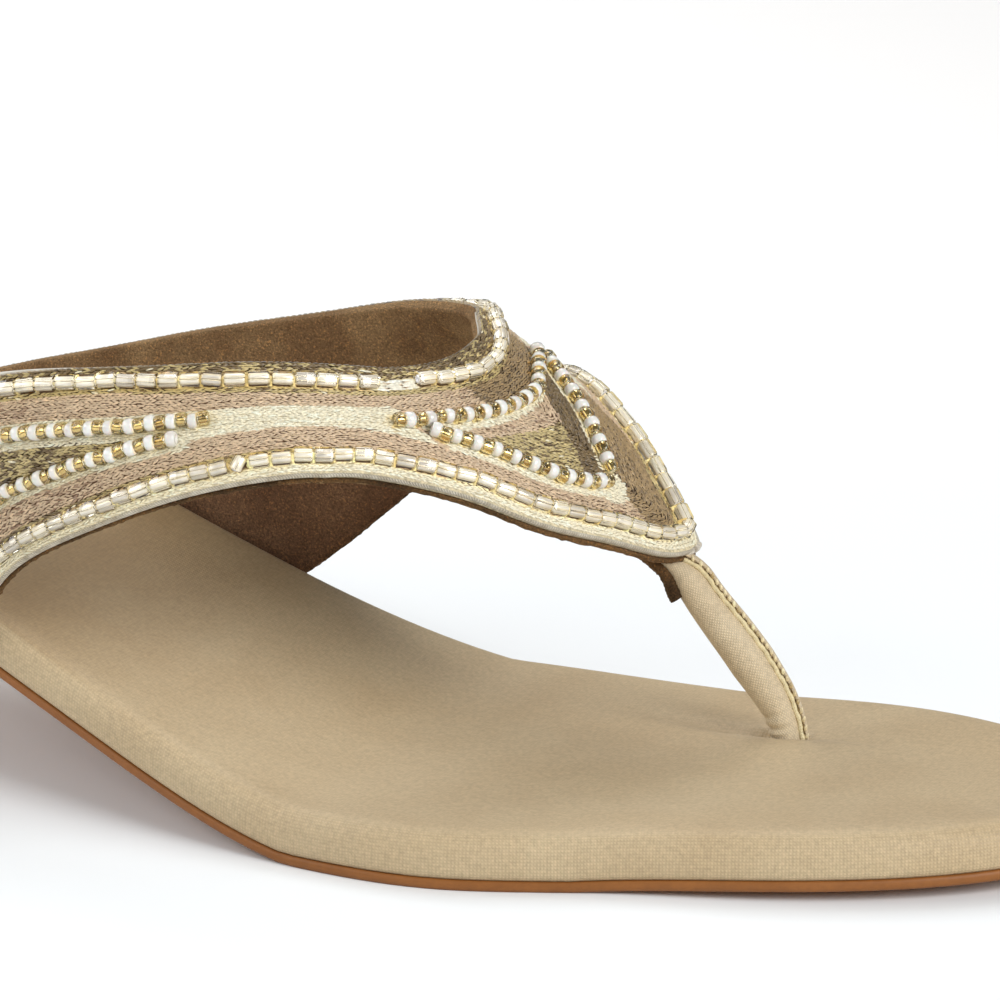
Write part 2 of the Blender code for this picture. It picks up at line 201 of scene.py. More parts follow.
def closed_outline(samples=1600):
    """Dense closed outline, starting at the back of the heel, outer side first."""
    outer = [row[:2] for row in OUTLINE]
    inner = [row[::2] for row in reversed(OUTLINE)]
    points = np.array([HEEL_POINT, *outer, TOE_POINT, *inner, HEEL_POINT])
    knots = run_along(points)
    at = np.linspace(0, knots[-1], samples, endpoint=False)
    curve = np.stack([spline(knots, points[:, k], at, closed=True) for k in (0, 1)], axis=1)
    return np.roll(curve, -int(curve[:, 0].argmin()), axis=0)


DENSE = closed_outline()
TOE_INDEX = int(DENSE[:, 0].argmax())
OUTER_SIDE = DENSE[:TOE_INDEX + 1]
INNER_SIDE = np.concatenate([DENSE[:1], DENSE[:TOE_INDEX - 1:-1]])


def edge(station, side):
    """Sideways place of the sole's edge: side -1 is outer, 1 is inner."""
    curve = OUTER_SIDE if side < 0 else INNER_SIDE
    return np.interp(station, curve[:, 0], curve[:, 1])


def sole_height(station):
    return np.maximum(smooth_line(SOLE_LINE, station), 0.0)


def footbed_base(station):
    return sole_height(station) + SOLE_THICKNESS + GAP


def footbed_top(station):
    return footbed_base(station) + FOOTBED_THICKNESS


def arch_lift(station, sideways):
    middle = (edge(station, -1) + edge(station, 1)) / 2
    half_width = np.maximum(edge(station, 1) - middle, GAP)
    rise = ARCH_LIFT * hump(station, ARCH_STATION, ARCH_REACH)
    return rise * smooth_step((sideways - middle) / half_width)


def instep(station, girth):
    """Outer face of the strap at a station and girth (arrays of the same shape)."""
    turn = np.sign(girth) * (math.pi / 2) * (1 - (1 - np.abs(girth)) ** 1.6)
    height, crest, outer_power, inner_power = (smooth_line(INSTEP, station, k)
                                               for k in (1, 2, 3, 4))
    outer = edge(station, -1) - STRAP_STANDOFF
    inner = edge(station, 1) + STRAP_STANDOFF
    reach = np.where(girth < 0, crest - outer, inner - crest)
    sideways = crest + reach * np.sin(turn)
    blend = smooth_step(turn / math.radians(60) + 0.5)
    power = outer_power + (inner_power - outer_power) * blend
    rise = height * np.maximum(np.cos(turn), 0.0) ** power
    return np.stack([station, sideways, footbed_top(station) + rise], axis=-1)


# ---- strap surface
class Strap:
    """Outer face of the strap, with the distance of each place from its two edges."""

    def __init__(self, girth_step=0.0025, share_step=0.01, share_beyond=0.12):
        tuck = FOOTBED_THICKNESS - TUCK_BEND + TUCK_BEND * math.pi / 2 + TUCK_SHOWN
        ends = 1 + tuck / GIRTH_LENGTH
        self.girths = np.arange(-ends, ends + girth_step, girth_step)
        self.shares = np.arange(-share_beyond, 1 + share_beyond, share_step)
        on_foot = np.clip(self.girths, -1, 1)
        self.rear, self.front = (smooth_line(STRAP_CUT, on_foot, k) for k in (1, 2))
        width = (self.front - self.rear)[:, None]
        stations = self.rear[:, None] + width * self.shares[None, :]
        girths = np.repeat(on_foot[:, None], len(self.shares), axis=1)
        self.points = instep(stations, girths)
        self.turn_under()
        across, around = np.gradient(self.points, axis=1), np.gradient(self.points, axis=0)
        self.normals = unit(np.cross(across, around))
        self.off = {"rear": self.distance(0.0) * np.sign(self.shares),
                    "front": self.distance(1.0) * np.sign(1 - self.shares)}

    def turn_under(self):
        """Takes the ends of the strap down the footbed's wall and under it."""
        path = np.maximum(np.abs(self.girths) - 1, 0) * GIRTH_LENGTH
        drop = FOOTBED_THICKNESS - TUCK_BEND
        turn = np.clip((path - drop) / TUCK_BEND, 0, math.pi / 2)
        straight = np.maximum(path - drop - TUCK_BEND * math.pi / 2, 0)
        inwards = TUCK_BEND * (1 - np.cos(turn)) + straight
        down = np.minimum(path, drop) + TUCK_BEND * np.sin(turn)
        self.points[:, :, 1] -= (np.sign(self.girths) * inwards)[:, None]
        self.points[:, :, 2] -= down[:, None]

    def distance(self, share):
        line = self.on(self.girths[::2], share)
        return np.array([far_from(row, line) for row in self.points])

    def read(self, table, girth, share):
        """Value of a table of the surface between its rows and columns."""
        i = (np.asarray(girth) - self.girths[0]) / (self.girths[1] - self.girths[0])
        j = (np.asarray(share) - self.shares[0]) / (self.shares[1] - self.shares[0])
        row = np.clip(i.astype(int), 0, len(self.girths) - 2)
        place = np.clip(j.astype(int), 0, len(self.shares) - 2)
        a, b = i - row, j - place
        if table.ndim == 3:
            a, b = a[..., None], b[..., None]
        low = table[row, place] * (1 - b) + table[row, place + 1] * b
        high = table[row + 1, place] * (1 - b) + table[row + 1, place + 1] * b
        return low * (1 - a) + high * a

    def on(self, girth, share, lift=0.0):
        """Points over the surface, that many millimetres proud of it."""
        points = self.read(self.points, girth, share)
        if np.any(lift):
            up = unit(self.read(self.normals, girth, share))
            points = points + up * np.asarray(lift)[..., None]
        return points

    def share_at(self, girth, station):
        rear = np.interp(girth, self.girths, self.rear)
        front = np.interp(girth, self.girths, self.front)
        return (station - rear) / (front - rear)

    def beside(self, side, girth, offset):
        """Shares that lie that far from the rear or the front edge."""
        way = 1 if side == "rear" else -1
        table, shares = self.off[side][:, ::way], self.shares[::way]
        girth = np.asarray(girth, float)
        rows = np.rint((girth - self.girths[0]) / (self.girths[1] - self.girths[0]))
        rows = np.clip(rows.astype(int), 0, len(self.girths) - 1)
        return np.array([np.interp(far, np.maximum.accumulate(table[row]), shares)
                         for row, far in zip(rows, np.broadcast_to(offset, girth.shape))])


strap = Strap()
PIECE_GIRTHS = strap.girths[1:-1:2]     # rows of the pieces that follow the strap
SEWN_GIRTHS = strap.girths[20:-20]      # girths that take stitches
END_ROOM = 0.4                          # of a step, free at the end of a line


class Line:
    """Line on the strap, by the girths and shares along it."""

    def __init__(self, girth, share):
        self.girth = girth
        self.share = np.broadcast_to(share, girth.shape)
        self.points = strap.on(girth, self.share)
        self.run = run_along(self.points)

    def at(self, length):
        """Girths and shares at lengths along the line."""
        return (np.interp(length, self.run, self.girth),
                np.interp(length, self.run, self.share))

    def spaced(self, pitch, spread):
        """Lengths a pitch apart along the line, with some spread."""
        count = int(self.run[-1] / pitch) + 2
        steps = pitch * (1 + spread * random.uniform(-1, 1, count))
        at = np.cumsum(steps) - steps / 2
        return at[at < self.run[-1] - steps[0] * END_ROOM]

    def seats(self, at, lift=0.0, reach=0.5, aside=0.0, swing=0.0):
        """Seats at lengths along the line, turned by a swing and moved aside a little."""
        lift, aside, swing = (np.broadcast_to(value, at.shape) for value in (lift, aside, swing))
        centre = strap.on(*self.at(at), lift=lift + 1e-6)
        along = unit(strap.on(*self.at(at + reach)) - strap.on(*self.at(at - reach)))
        up = unit(strap.read(strap.normals, *self.at(at)))
        across = unit(np.cross(up, along))
        centre = centre + across * aside[:, None]
        along = along * np.cos(swing)[:, None] + across * np.sin(swing)[:, None]
        return np.stack([centre, along, up], axis=1)


# ---- meshes
def to_frame(points):
    """Points by station, sideways place and height, in the part's frame."""
    return (np.asarray(points) - (LENGTH / 2, 0.0, 0.0)) * MM


def lay_grid(bm, points, flat):
    """Adds a grid with a vertex at each point of a table of rows and columns.

    flat gives each point's place on the unrolled cloth, in millimetres.
    """
    rows, columns = points.shape[:2]
    made = bmesh.ops.create_grid(bm, x_segments=columns - 1, y_segments=rows - 1, size=0.5)
    layer = bm.loops.layers.uv.verify()
    places = zip(made["verts"], to_frame(points).reshape(-1, 3), flat.reshape(-1, 2) * MM)
    for vert, place, on_cloth in places:
        vert.co = place
        for loop in vert.link_loops:
            loop[layer].uv = on_cloth


def close_up(bm, weld=0.002):
    """Welds what meets, closes open ends and turns every face outwards."""
    bmesh.ops.remove_doubles(bm, verts=bm.verts, dist=weld * MM)
    rims = [rim for rim in bm.edges if rim.is_boundary]
    if rims:
        bmesh.ops.holes_fill(bm, edges=rims)
    bmesh.ops.recalc_face_normals(bm, faces=bm.faces)


def mesh_of(name, bm):
    mesh = bpy.data.meshes.new(name)
    bm.to_mesh(mesh)
    bm.free()
    return mesh


def in_scene(name, data):
    made = bpy.data.objects.new(name, data)
    bpy.context.scene.collection.objects.link(made)
    return made


def with_modifiers(thing):
    """Mesh of an object as its modifiers leave it."""
    graph = bpy.context.evaluated_depsgraph_get()
    return bpy.data.meshes.new_from_object(thing.evaluated_get(graph))


def sharpen(mesh, degrees):
    mesh.set_sharp_from_angle(angle=math.radians(degrees))


def new_piece(name, mesh, material, slot, *replaced):
    """Puts a mesh in the scene as a piece of the sandal."""
    mesh.name = name
    mesh.shade_smooth()
    mesh.materials.clear()
    mesh.materials.append(material)
    piece = in_scene(name, mesh)
    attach(piece, "root")
    if replaced:
        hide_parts(*replaced)
    return piece


def bmesh_piece(name, bm, material, slot, *replaced, sharp=None):
    mesh = mesh_of(name, bm)
    piece = new_piece(name, mesh, material, slot, *replaced)
    if sharp:
        sharpen(mesh, sharp)
    return piece


def skin_piece(name, table, flat, material, slot, *replaced, sharp=None):
    """Closed piece whose surface is one table of points."""
    bm = bmesh.new()
    lay_grid(bm, table, flat)
    close_up(bm)
    return bmesh_piece(name, bm, material, slot, *replaced, sharp=sharp)


def closed_round(table):
    """Repeats the first column of a table of points after its last."""
    return np.concatenate([table, table[:, :1]], axis=1)


def unrolled(ring, lengths):
    """Unrolled places of rings: round the closed ring, and the length up to each."""
    return np.stack(np.meshgrid(run_along(ring), lengths), axis=-1)


def copies(template, count):
    """Mesh with that many copies of a small bmesh, all in one place."""
    mesh = mesh_of("template", template)
    holder = in_scene("template", mesh)
    repeat = holder.modifiers.new("repeat", "ARRAY")
    repeat.count = count
    repeat.use_relative_offset = False
    repeat.use_constant_offset = True
    repeat.constant_offset_displace = (0, 0, 0)
    made = with_modifiers(holder)
    bpy.data.objects.remove(holder, do_unlink=True)
    bpy.data.meshes.remove(mesh)
    return made


def sew_on(name, template, seats, material, slot, sizes, tones=None):
    """Piece of many copies of a bead or stitch, one on each seat.

    The template is in millimetres, along X, with Z up off the cloth. A seat is a centre,
    a direction along and a direction up, so seats have the shape (count, 3, 3).
    """
    count = len(seats)
    mesh = copies(template, count)
    place = np.empty(len(mesh.vertices) * 3, np.float32)
    mesh.vertices.foreach_get("co", place)
    place = place.reshape(count, -1, 3) * np.broadcast_to(sizes, (count, 3))[:, None, :]
    along = unit(seats[:, 1])
    across = unit(np.cross(seats[:, 2], along))
    axes = np.stack([along, across, np.cross(along, across)], axis=1)
    place = seats[:, :1] + np.einsum("cvk,ckx->cvx", place, axes)
    mesh.vertices.foreach_set("co", to_frame(place).astype(np.float32).ravel())
    tone = mesh.attributes.new("tone", "FLOAT", "POINT")
    tones = random.random(count) if tones is None else tones
    share = len(mesh.vertices) // count
    tone.data.foreach_set("value", np.repeat(tones, share).astype(np.float32))
    mesh.update()
    return new_piece(name, mesh, material, slot)


# ---- shader nodes
def grey(value):
    return (value, value, value, 1.0)


def shade(red, green, blue):
    """Linear colour from a shade on a 0 to 255 swatch card."""
    def linear(level):
        level /= 255
        return level / 12.92 if level < 0.04045 else ((level + 0.055) / 1.055) ** 2.4
    return (linear(red), linear(green), linear(blue), 1.0)


class Nodes:
    """Adds shader nodes to a tree; each call gives what the new node puts out."""

    def __init__(self, tree):
        self.tree = tree

    def put(self, kind, inputs=None, **settings):
        """A node with its settings, and its inputs linked or set."""
        made = self.tree.nodes.new("ShaderNode" + kind)
        for name, value in settings.items():
            setattr(made, name, value)
        for socket, value in (inputs or {}).items():
            self.feed(value, made.inputs[socket])
        return made.outputs

    def feed(self, value, socket):
        if isinstance(value, bpy.types.NodeSocket):
            self.tree.links.new(value, socket)
        else:
            socket.default_value = value

    def math(self, operation, *values):
        return self.put("Math", dict(enumerate(values)), operation=operation)[0]

    def vector(self, operation, inputs):
        return self.put("VectorMath", inputs, operation=operation)

    def noise(self, place, scale, detail, roughness=0.5):
        return self.put("TexNoise", {"Vector": place, "Scale": scale, "Detail": detail,
                                     "Roughness": roughness})

    def spread(self, value, given=(0.0, 1.0), wanted=(0.0, 1.0)):
        """A value moved from its given range to a wanted one, and kept within it."""
        return self.put("MapRange", {"Value": value, "From Min": given[0], "From Max": given[1],
                                     "To Min": wanted[0], "To Max": wanted[1]})[0]

    def blend(self, factor, first, second, kind="MIX"):
        return self.put("Mix", {0: factor, 6: first, 7: second}, data_type="RGBA",
                        blend_type=kind, clamp_factor=True)[2]

    def times(self, first, second):
        """Two colours multiplied."""
        return self.blend(1.0, first, second, "MULTIPLY")

    def ramp(self, factor, *stops):
        """Colour ramp from (place, colour) stops."""
        made = self.put("ValToRGB", {"Fac": factor})["Color"]
        elements = made.node.color_ramp.elements
        while len(elements) < len(stops):
            elements.new(0.5)
        for element, (place, colour) in zip(elements, stops):
            element.position = place
            element.color = colour
        return made

    def parts(self, vector):
        return self.put("SeparateXYZ", {0: vector})

    def attribute(self, name, output):
        return self.put("Attribute", attribute_name=name)[output]

    def place(self):
        """Place on the object."""
        return self.put("TexCoord")["Object"]

    def cloth_place(self):
        """Place on the unrolled cloth."""
        return self.put("UVMap")[0]

    def effect(self, group, **inputs):
        made = self.tree.nodes.new("ShaderNodeGroup")
        made.node_tree = group
        for socket, value in inputs.items():
            self.feed(value, made.inputs[socket])
        return made.outputs

    def mottled(self, first, second, speckle, blotches, specks):
        return self.effect(MOTTLE, Place=self.place(), First=first, Second=second,
                           Speckle=speckle, Blotches=blotches, Specks=specks)


def new_effect(name, inputs, outputs):
    """Empty node group, with its input and output sockets."""
    tree = bpy.data.node_groups.new(name, "ShaderNodeTree")
    for way, sockets in (("INPUT", inputs), ("OUTPUT", outputs)):
        for socket, kind in sockets.items():
            tree.interface.new_socket(socket, in_out=way, socket_type="NodeSocket" + kind)
    return (Nodes(tree), tree.nodes.new("NodeGroupInput").outputs,
            tree.nodes.new("NodeGroupOutput").inputs)


def weave_effect():
    """Square weave: thread crossings a pitch apart on the unrolled cloth."""
    nodes, given, result = new_effect(
        "cloth_weave", {"Place": "Vector", "Threads": "Float", "Loose": "Float"},
        {"Height": "Float"})
    wander = nodes.noise(given["Place"], 400.0, 1.0)["Color"]
    wander = nodes.vector("SUBTRACT", {0: wander, 1: (0.5, 0.5, 0.5)})[0]
    count = nodes.vector("SCALE", {0: given["Place"], "Scale": given["Threads"]})[0]
    drift = nodes.vector("SCALE", {0: wander, "Scale": given["Loose"]})[0]
    parts = nodes.parts(nodes.vector("ADD", {0: count, 1: drift})[0])
    waves = []
    for axis in (0, 1):
        wave = nodes.math("COSINE", nodes.math("MULTIPLY", parts[axis], FULL_TURN))
        waves.append(nodes.math("MULTIPLY_ADD", wave, 0.5, 0.5))
    nodes.feed(nodes.math("MULTIPLY", *waves), result["Height"])
    return nodes.tree


def mottle_effect():
    """Soft blotches between two colours, with fine specks over them."""
    nodes, given, result = new_effect(
        "mottle", {"Place": "Vector", "Blotches": "Float", "Specks": "Float", "First": "Color",
                   "Second": "Color", "Speckle": "Float"},
        {"Color": "Color", "Height": "Float"})
    blotch = nodes.noise(given["Place"], given["Blotches"], 4.0, 0.6)[0]
    speck = nodes.noise(given["Place"], given["Specks"], 2.0, 0.7)[0]
    colour = nodes.blend(nodes.spread(blotch, (0.35, 0.65)), given["First"], given["Second"])
    spotted = nodes.times(colour, nodes.spread(speck, (0.3, 0.7)))
    nodes.feed(nodes.blend(given["Speckle"], colour, spotted), result["Color"])
    nodes.feed(speck, result["Height"])
    return nodes.tree


WEAVE = weave_effect()
MOTTLE = mottle_effect()


class Finish(Nodes):
    """Material whose even values are set on the shader's own sockets."""

    def __init__(self, name, **even):
        self.material = bpy.data.materials.new(name)
        self.material.use_nodes = True
        super().__init__(self.material.node_tree)
        self.shader = self.tree.nodes["Principled BSDF"]
        words = {"ior": "IOR", "specular": "Specular IOR Level"}
        for word, value in even.items():
            socket = words.get(word, word.replace("_", " ").title())
            self.shader.inputs[socket].default_value = value

    def done(self, colour, height=None, depth=None, roughness=None):
        """Gives the shader its colour, relief and roughness, where they change."""
        self.feed(colour, self.shader.inputs["Base Color"])
        if roughness is not None:
            self.feed(roughness, self.shader.inputs["Roughness"])
        if height is not None:
            relief = self.put("Bump", {"Height": height, "Distance": depth})[0]
            self.feed(relief, self.shader.inputs["Normal"])
        return self.material


# ---- finishes
WEAVE_LOOSENESS = 0.15
COVER_MOTTLING = (0.22, 45.0, 1500.0)   # speckle, blotches, specks
PAINTED_SHADE_STRETCH = (-0.09, 0.0)           # painted shade under the strap, along X in metres
PAINTED_SHADE_HEIGHTS = (0.033, 0.046)         # painted shade on the low part of the strap's lining, in metres
RIB_PITCH = 0.0004


def woven_cover(name, light, dark, threads=2150.0, contrast=0.1, on_flats=1.0, painted_shade=None):
    """Fine woven cover with a satin coat; on_flats says how much of it shows on level parts.

    Under the strap its level parts take on a painted shade, the strap's shadow, when one is given.
    """
    cover = Finish(name, specular=0.45, sheen_weight=0.06, sheen_roughness=0.4)
    weave = cover.effect(WEAVE, Place=cover.cloth_place(), Threads=threads,
                         Loose=WEAVE_LOOSENESS)["Height"]
    upwards = cover.parts(cover.put("NewGeometry")["Normal"])[2]
    shown = cover.math("MULTIPLY", weave, cover.spread(upwards, (0.8, 0.98), (1.0, on_flats)))
    # painted shade and highlight: the weave's gaps darker and its crossings lighter in colour
    colour = cover.times(cover.mottled(dark, light, *COVER_MOTTLING)["Color"],
                         cover.spread(shown, wanted=(1 - contrast * 0.3, 1 + contrast)))
    # painted shade: the strap's shadow, darkening the level parts under it
    if painted_shade is not None:
        along = cover.spread(cover.parts(cover.place())[0], PAINTED_SHADE_STRETCH)
        deeper = cover.ramp(along, (0.05, grey(1.0)), (0.4, painted_shade), (0.66, painted_shade),
                            (0.92, grey(1.0)))
        colour = cover.blend(cover.spread(upwards, (0.75, 0.88)), colour, deeper, "MULTIPLY")
    return cover.done(colour, shown, 0.00006, cover.spread(shown, wanted=(0.53, 0.38)))


def rubber(name, first, second, mottling, roughness, depth, specular):
    """Plain moulded rubber; mottling is its speckle, blotches and specks."""
    made = Finish(name, specular=specular)
    mottle = made.mottled(first, second, *mottling)
    return made.done(mottle["Color"], mottle["Height"], depth,
                     made.spread(mottle["Height"], wanted=roughness))


def suede(name, light, dark, glitter=0.0, low=None):
    """Brushed suede: a short nap, golden specks where it is raw, and a painted shade over a low
    part.
    """
    made = Finish(name, roughness=0.92, specular=0.15, sheen_weight=0.25, sheen_roughness=0.5,
                  sheen_tint=shade(205, 175, 130))
    place = made.place()
    nap = made.noise(place, 3200.0, 2.0, 0.75)[0]
    soft = made.ramp(made.noise(place, 90.0, 3.0)[0], (0.35, dark), (0.65, light))
    # painted shade: darker towards the bottom of the lining, in the shade under the strap
    if low is not None:
        height = made.spread(made.parts(place)[2], PAINTED_SHADE_HEIGHTS)
        soft = made.times(soft, made.ramp(height, (0.0, low), (1.0, grey(1.0))))
    gold = tuple(1 + glitter * value for value in (2.2, 1.6, 0.8)) + (1.0,)
    speck = made.ramp(nap, (0.3, grey(0.7 - glitter * 0.35)), (0.5, grey(1.0)),
                      (0.6, grey(1.0 + glitter * 0.3)), (0.68, gold))
    return made.done(made.times(soft, speck), nap, 0.00025 + glitter * 0.0002)


def fibrous(made, colour, scale, detail, dim, depth):
    """Ends a finish with fine fibres, darker and lighter between two shares of its colour."""
    fibre = made.noise(made.place(), scale, detail)[0]
    fuzz = made.ramp(fibre, (0.3, grey(dim[0])), (0.7, grey(dim[1])))
    return made.done(made.times(colour, fuzz), fibre, depth)


def thread(name, light, dark):
    """Twisted embroidery thread. The tone of each stitch is its own, and the brightest tones are
    painted glints.
    """
    made = Finish(name, roughness=0.36, specular=0.65, sheen_weight=0.35, sheen_roughness=0.3,
                  sheen_tint=grey(1.0))
    # painted glint: the brightest tones go past the thread's light colour
    painted_glint = tuple(min(value * 1.25, 0.97) for value in light[:3]) + (1.0,)
    body = made.ramp(made.attribute("tone", "Fac"), (0.0, dark), (0.4, light), (0.8, light),
                     (1.0, painted_glint))
    return fibrous(made, body, 2600.0, 2.0, (0.72, 1.12), 0.00008)


def ground_cloth():
    """Base cloth under the stitches, in the colour of the thread over it but darker."""
    made = Finish("ground_cloth", roughness=0.85, specular=0.2)
    return fibrous(made, made.attribute("ground", "Color"), 2200.0, 3.0, (0.6, 1.2), 0.0001)


def ribbed_piping():
    """Folded edge tape with fine cross ribs. Its cloth runs along U."""
    made = Finish("ribbed_piping", roughness=0.6, specular=0.35, sheen_weight=0.15)
    turn = made.math("MULTIPLY", made.parts(made.cloth_place())[0], FULL_TURN / RIB_PITCH)
    rib = made.math("SINE", turn)
    worn = made.ramp(made.noise(made.place(), 700.0, 3.0)[0], (0.3, shade(176, 164, 142)),
                     (0.7, shade(214, 206, 188)))
    # painted shade: the grooves between the ribs darker, the crests a little lighter
    return made.done(made.times(worn, made.spread(rib, (-1.0, 1.0), (0.75, 1.05))), rib, 0.00005)


def pale_tape():
    """Satin tape folded over the strap's rear edge, with faint streaks along it."""
    made = Finish("pale_tape", roughness=0.45, specular=0.5, sheen_weight=0.2)
    drawn = made.vector("MULTIPLY", {0: made.cloth_place(), 1: (300.0, 4000.0, 1.0)})[0]
    streaks = made.noise(drawn, 1.0, 3.0)[0]
    tone = made.ramp(streaks, (0.3, shade(172, 164, 148)), (0.7, shade(218, 213, 200)))
    return made.done(tone, streaks, 0.00008)


def bead_glass(name, tint):
    """Glass with faint streaks, which lets the light reach its lining."""
    made = Finish(name, roughness=0.03, transmission_weight=1.0, ior=1.5)
    deeper = tuple(value * 0.86 for value in tint[:3]) + (1.0,)
    streaks = made.noise(made.place(), 500.0, 2.0)[0]
    clear = made.put("BsdfTransparent", {"Color": tint})[0]
    in_shadow = made.put("LightPath")["Is Shadow Ray"]
    both = made.put("MixShader", {0: in_shadow, 1: made.shader.outputs[0], 2: clear})[0]
    made.feed(both, made.tree.nodes["Material Output"].inputs["Surface"])
    return made.done(made.ramp(streaks, (0.35, deeper), (0.6, tint)))


def bead_enamel(name, light, dark, **even):
    """Opaque bead colour, a little uneven from bead to bead."""
    made = Finish(name, **even)
    noise = made.noise(made.place(), 900.0, 2.0)[0]
    mixed = made.math("MULTIPLY_ADD", noise, 0.5, made.attribute("tone", "Fac"))
    return made.done(made.ramp(mixed, (0.2, dark), (0.8, light)))


# ---- sole
OUTLINE_ROWS = 150


def outline_ring(inset, rows=OUTLINE_ROWS):
    """Closed ring along the outline, moved inwards."""
    share = (1 - np.cos(np.linspace(0, math.pi, rows + 1))) / 2
    stations = DENSE[0, 0] + (DENSE[TOE_INDEX, 0] - DENSE[0, 0]) * share
    outer = [(x, edge(x, -1)) for x in stations[1:-1]]
    inner = [(x, edge(x, 1)) for x in stations[-2:0:-1]]
    ring = np.array([tuple(DENSE[0]), *outer, tuple(DENSE[TOE_INDEX]), *inner])
    along = unit(np.roll(ring, -1, axis=0) - np.roll(ring, 1, axis=0))
    return ring - np.stack([along[:, 1], -along[:, 0]], axis=1) * inset


def edge_profile(table, count):
    """Evenly spaced steps along an edge's section, and the length up to each."""
    points = np.array(table)
    run = run_along(points)
    at = np.linspace(0, run[-1], count)
    profile = np.stack([np.interp(at, run, points[:, 0]), spline(run, points[:, 1], at)], axis=1)
    profile[1:-1, 0] = (profile[:-2, 0] + 2 * profile[1:-1, 0] + profile[2:, 0]) / 4
    return profile, at


def across_ring(ring, columns):
    """Table of points across a ring that runs heel, outer side, toe, inner side."""
    half = len(ring) // 2
    outer = ring[:half + 1]
    inner = np.concatenate([ring[:1], ring[:half - 1:-1]])
    share = np.linspace(0, 1, columns + 1)[None, :, None]
    return outer[:, None] * (1 - share) + inner[:, None] * share


def capped_body(rings, flat, *caps):
    """Closed body from stacked rings and the tables of points that close its ends."""
    bm = bmesh.new()
    lay_grid(bm, closed_round(rings), flat)
    for cap in caps:
        lay_grid(bm, cap, cap[:, :, :2])
    close_up(bm)
    return bm


def outline_body(profile, lengths, height, top_columns, crown):
    """Body from an edge section run round the outline, closed across top and bottom."""
    rim = outline_ring(profile[-1][0])
    plans = [(outline_ring(inset), level) for inset, level in profile]
    rings = np.array([np.column_stack([plan, height(plan, level)]) for plan, level in plans])
    top = across_ring(rings[-1], top_columns)
    top[:, 1:-1, 2] = crown(top[:, 1:-1, 0], top[:, 1:-1, 1])
    flat = unrolled(np.concatenate([rim, rim[:1]]), lengths)
    return capped_body(rings, flat, top, across_ring(rings[0], 2))


def lasting_window(station, side):
    """1 where the strap is lasted under the footbed on that side, 0 elsewhere."""
    row = STRAP_CUT[0] if side < 0 else STRAP_CUT[-1]
    return ((station > row[1] - GAP) & (station < row[2] + GAP)).astype(float)


SLOT_PLACE = (POST_ROUTE[-1][0] + SEAM_LENGTH / 2, POST_ROUTE[-1][1])
SLOT_LENGTH = 7.0
SLOT_WIDTH = 5.1
CREASE_LENGTH = 26.0


def footbed_relief(station, sideways):
    """Hollow round the slot, the crease that runs back from it, and soft waves."""
    x = station - SLOT_PLACE[0]
    y = sideways - SLOT_PLACE[1]
    away = np.hypot(x / (SLOT_LENGTH / 2), y / (SLOT_WIDTH / 2))
    hidden = smooth_step((y - 0.6 * x + 1.0) / 3)       # deeper behind the post
    dent = -(0.25 + 1.2 * hidden) * np.exp(-np.maximum(away - 0.75, 0) ** 2 / 0.22) \
        - 0.35 * hump(away, 0, 2.6)
    back = -x - SLOT_LENGTH / 2
    crease_at = 0.9 + 0.02 * np.maximum(back, 0) ** 1.4
    fade = smooth_step((back + 3) / 3) * smooth_step(1 - back / CREASE_LENGTH)
    crease = -0.75 * fade * hump(y, crease_at, 1.5) \
        + 0.22 * fade * hump(y - crease_at, 3.4, 2.2)
    front_fold = -0.35 * hump(y - 0.6, 0.2 * x, 0.9) * smooth_step((x - 2) / 2) \
        * smooth_step((9 - x) / 4)
    waves = 0.10 * np.sin(station / 11.0 + sideways / 17.0) * np.sin(sideways / 9.0 + 1.3) \
        + 0.05 * np.sin(station / 4.7 + 2.0) * np.sin(sideways / 5.3 + station / 21.0)
    padding = 0.9 * np.exp(-((x / 10) ** 2 + ((y + 4.0) / 5.5) ** 2))   # pushed up beside the slot
    return dent + crease + front_fold + waves + padding * smooth_step((1.0 - y) / 3)


def footbed():
    """Padded board wrapped in its cover, with the rolled ridge round its edge."""
    profile, lengths = edge_profile(FOOTBED_EDGE, 16)

    def height(plan, level):
        x, y = plan.T
        outer_half = np.arange(len(x)) <= OUTLINE_ROWS
        room = np.where(outer_half, lasting_window(x, -1), lasting_window(x, 1))
        level_there = np.maximum(level, RECESS_HEIGHT * room)
        share = level_there / FOOTBED_THICKNESS
        return footbed_base(x) + level_there + arch_lift(x, y) * share

    def crown(x, y):
        outer, inner = edge(x, -1), edge(x, 1)
        half_width = (inner - outer) / 2
        flat = np.maximum(half_width - profile[-1][0], GAP)
        share = np.abs(y - (inner + outer) / 2) / flat
        hollow = DISH_DEPTH * smooth_step((1 - share) * 1.6)
        ease = smooth_step((1 - share) * 4)
        return footbed_top(x) + arch_lift(x, y) - hollow + footbed_relief(x, y) * ease

    bm = outline_body(profile, lengths, height, 90, crown)
    # the cover takes a painted shade, the strap's shadow, under the strap
    finish = woven_cover("footbed_cover", shade(203, 181, 144), shade(195, 171, 133),
                         contrast=0.13, on_flats=0.25, painted_shade=(0.7, 0.62, 0.51, 1.0))
    cut_slot(bmesh_piece("footbed_padded", bm, finish, "footbed_cover", "footbed"))


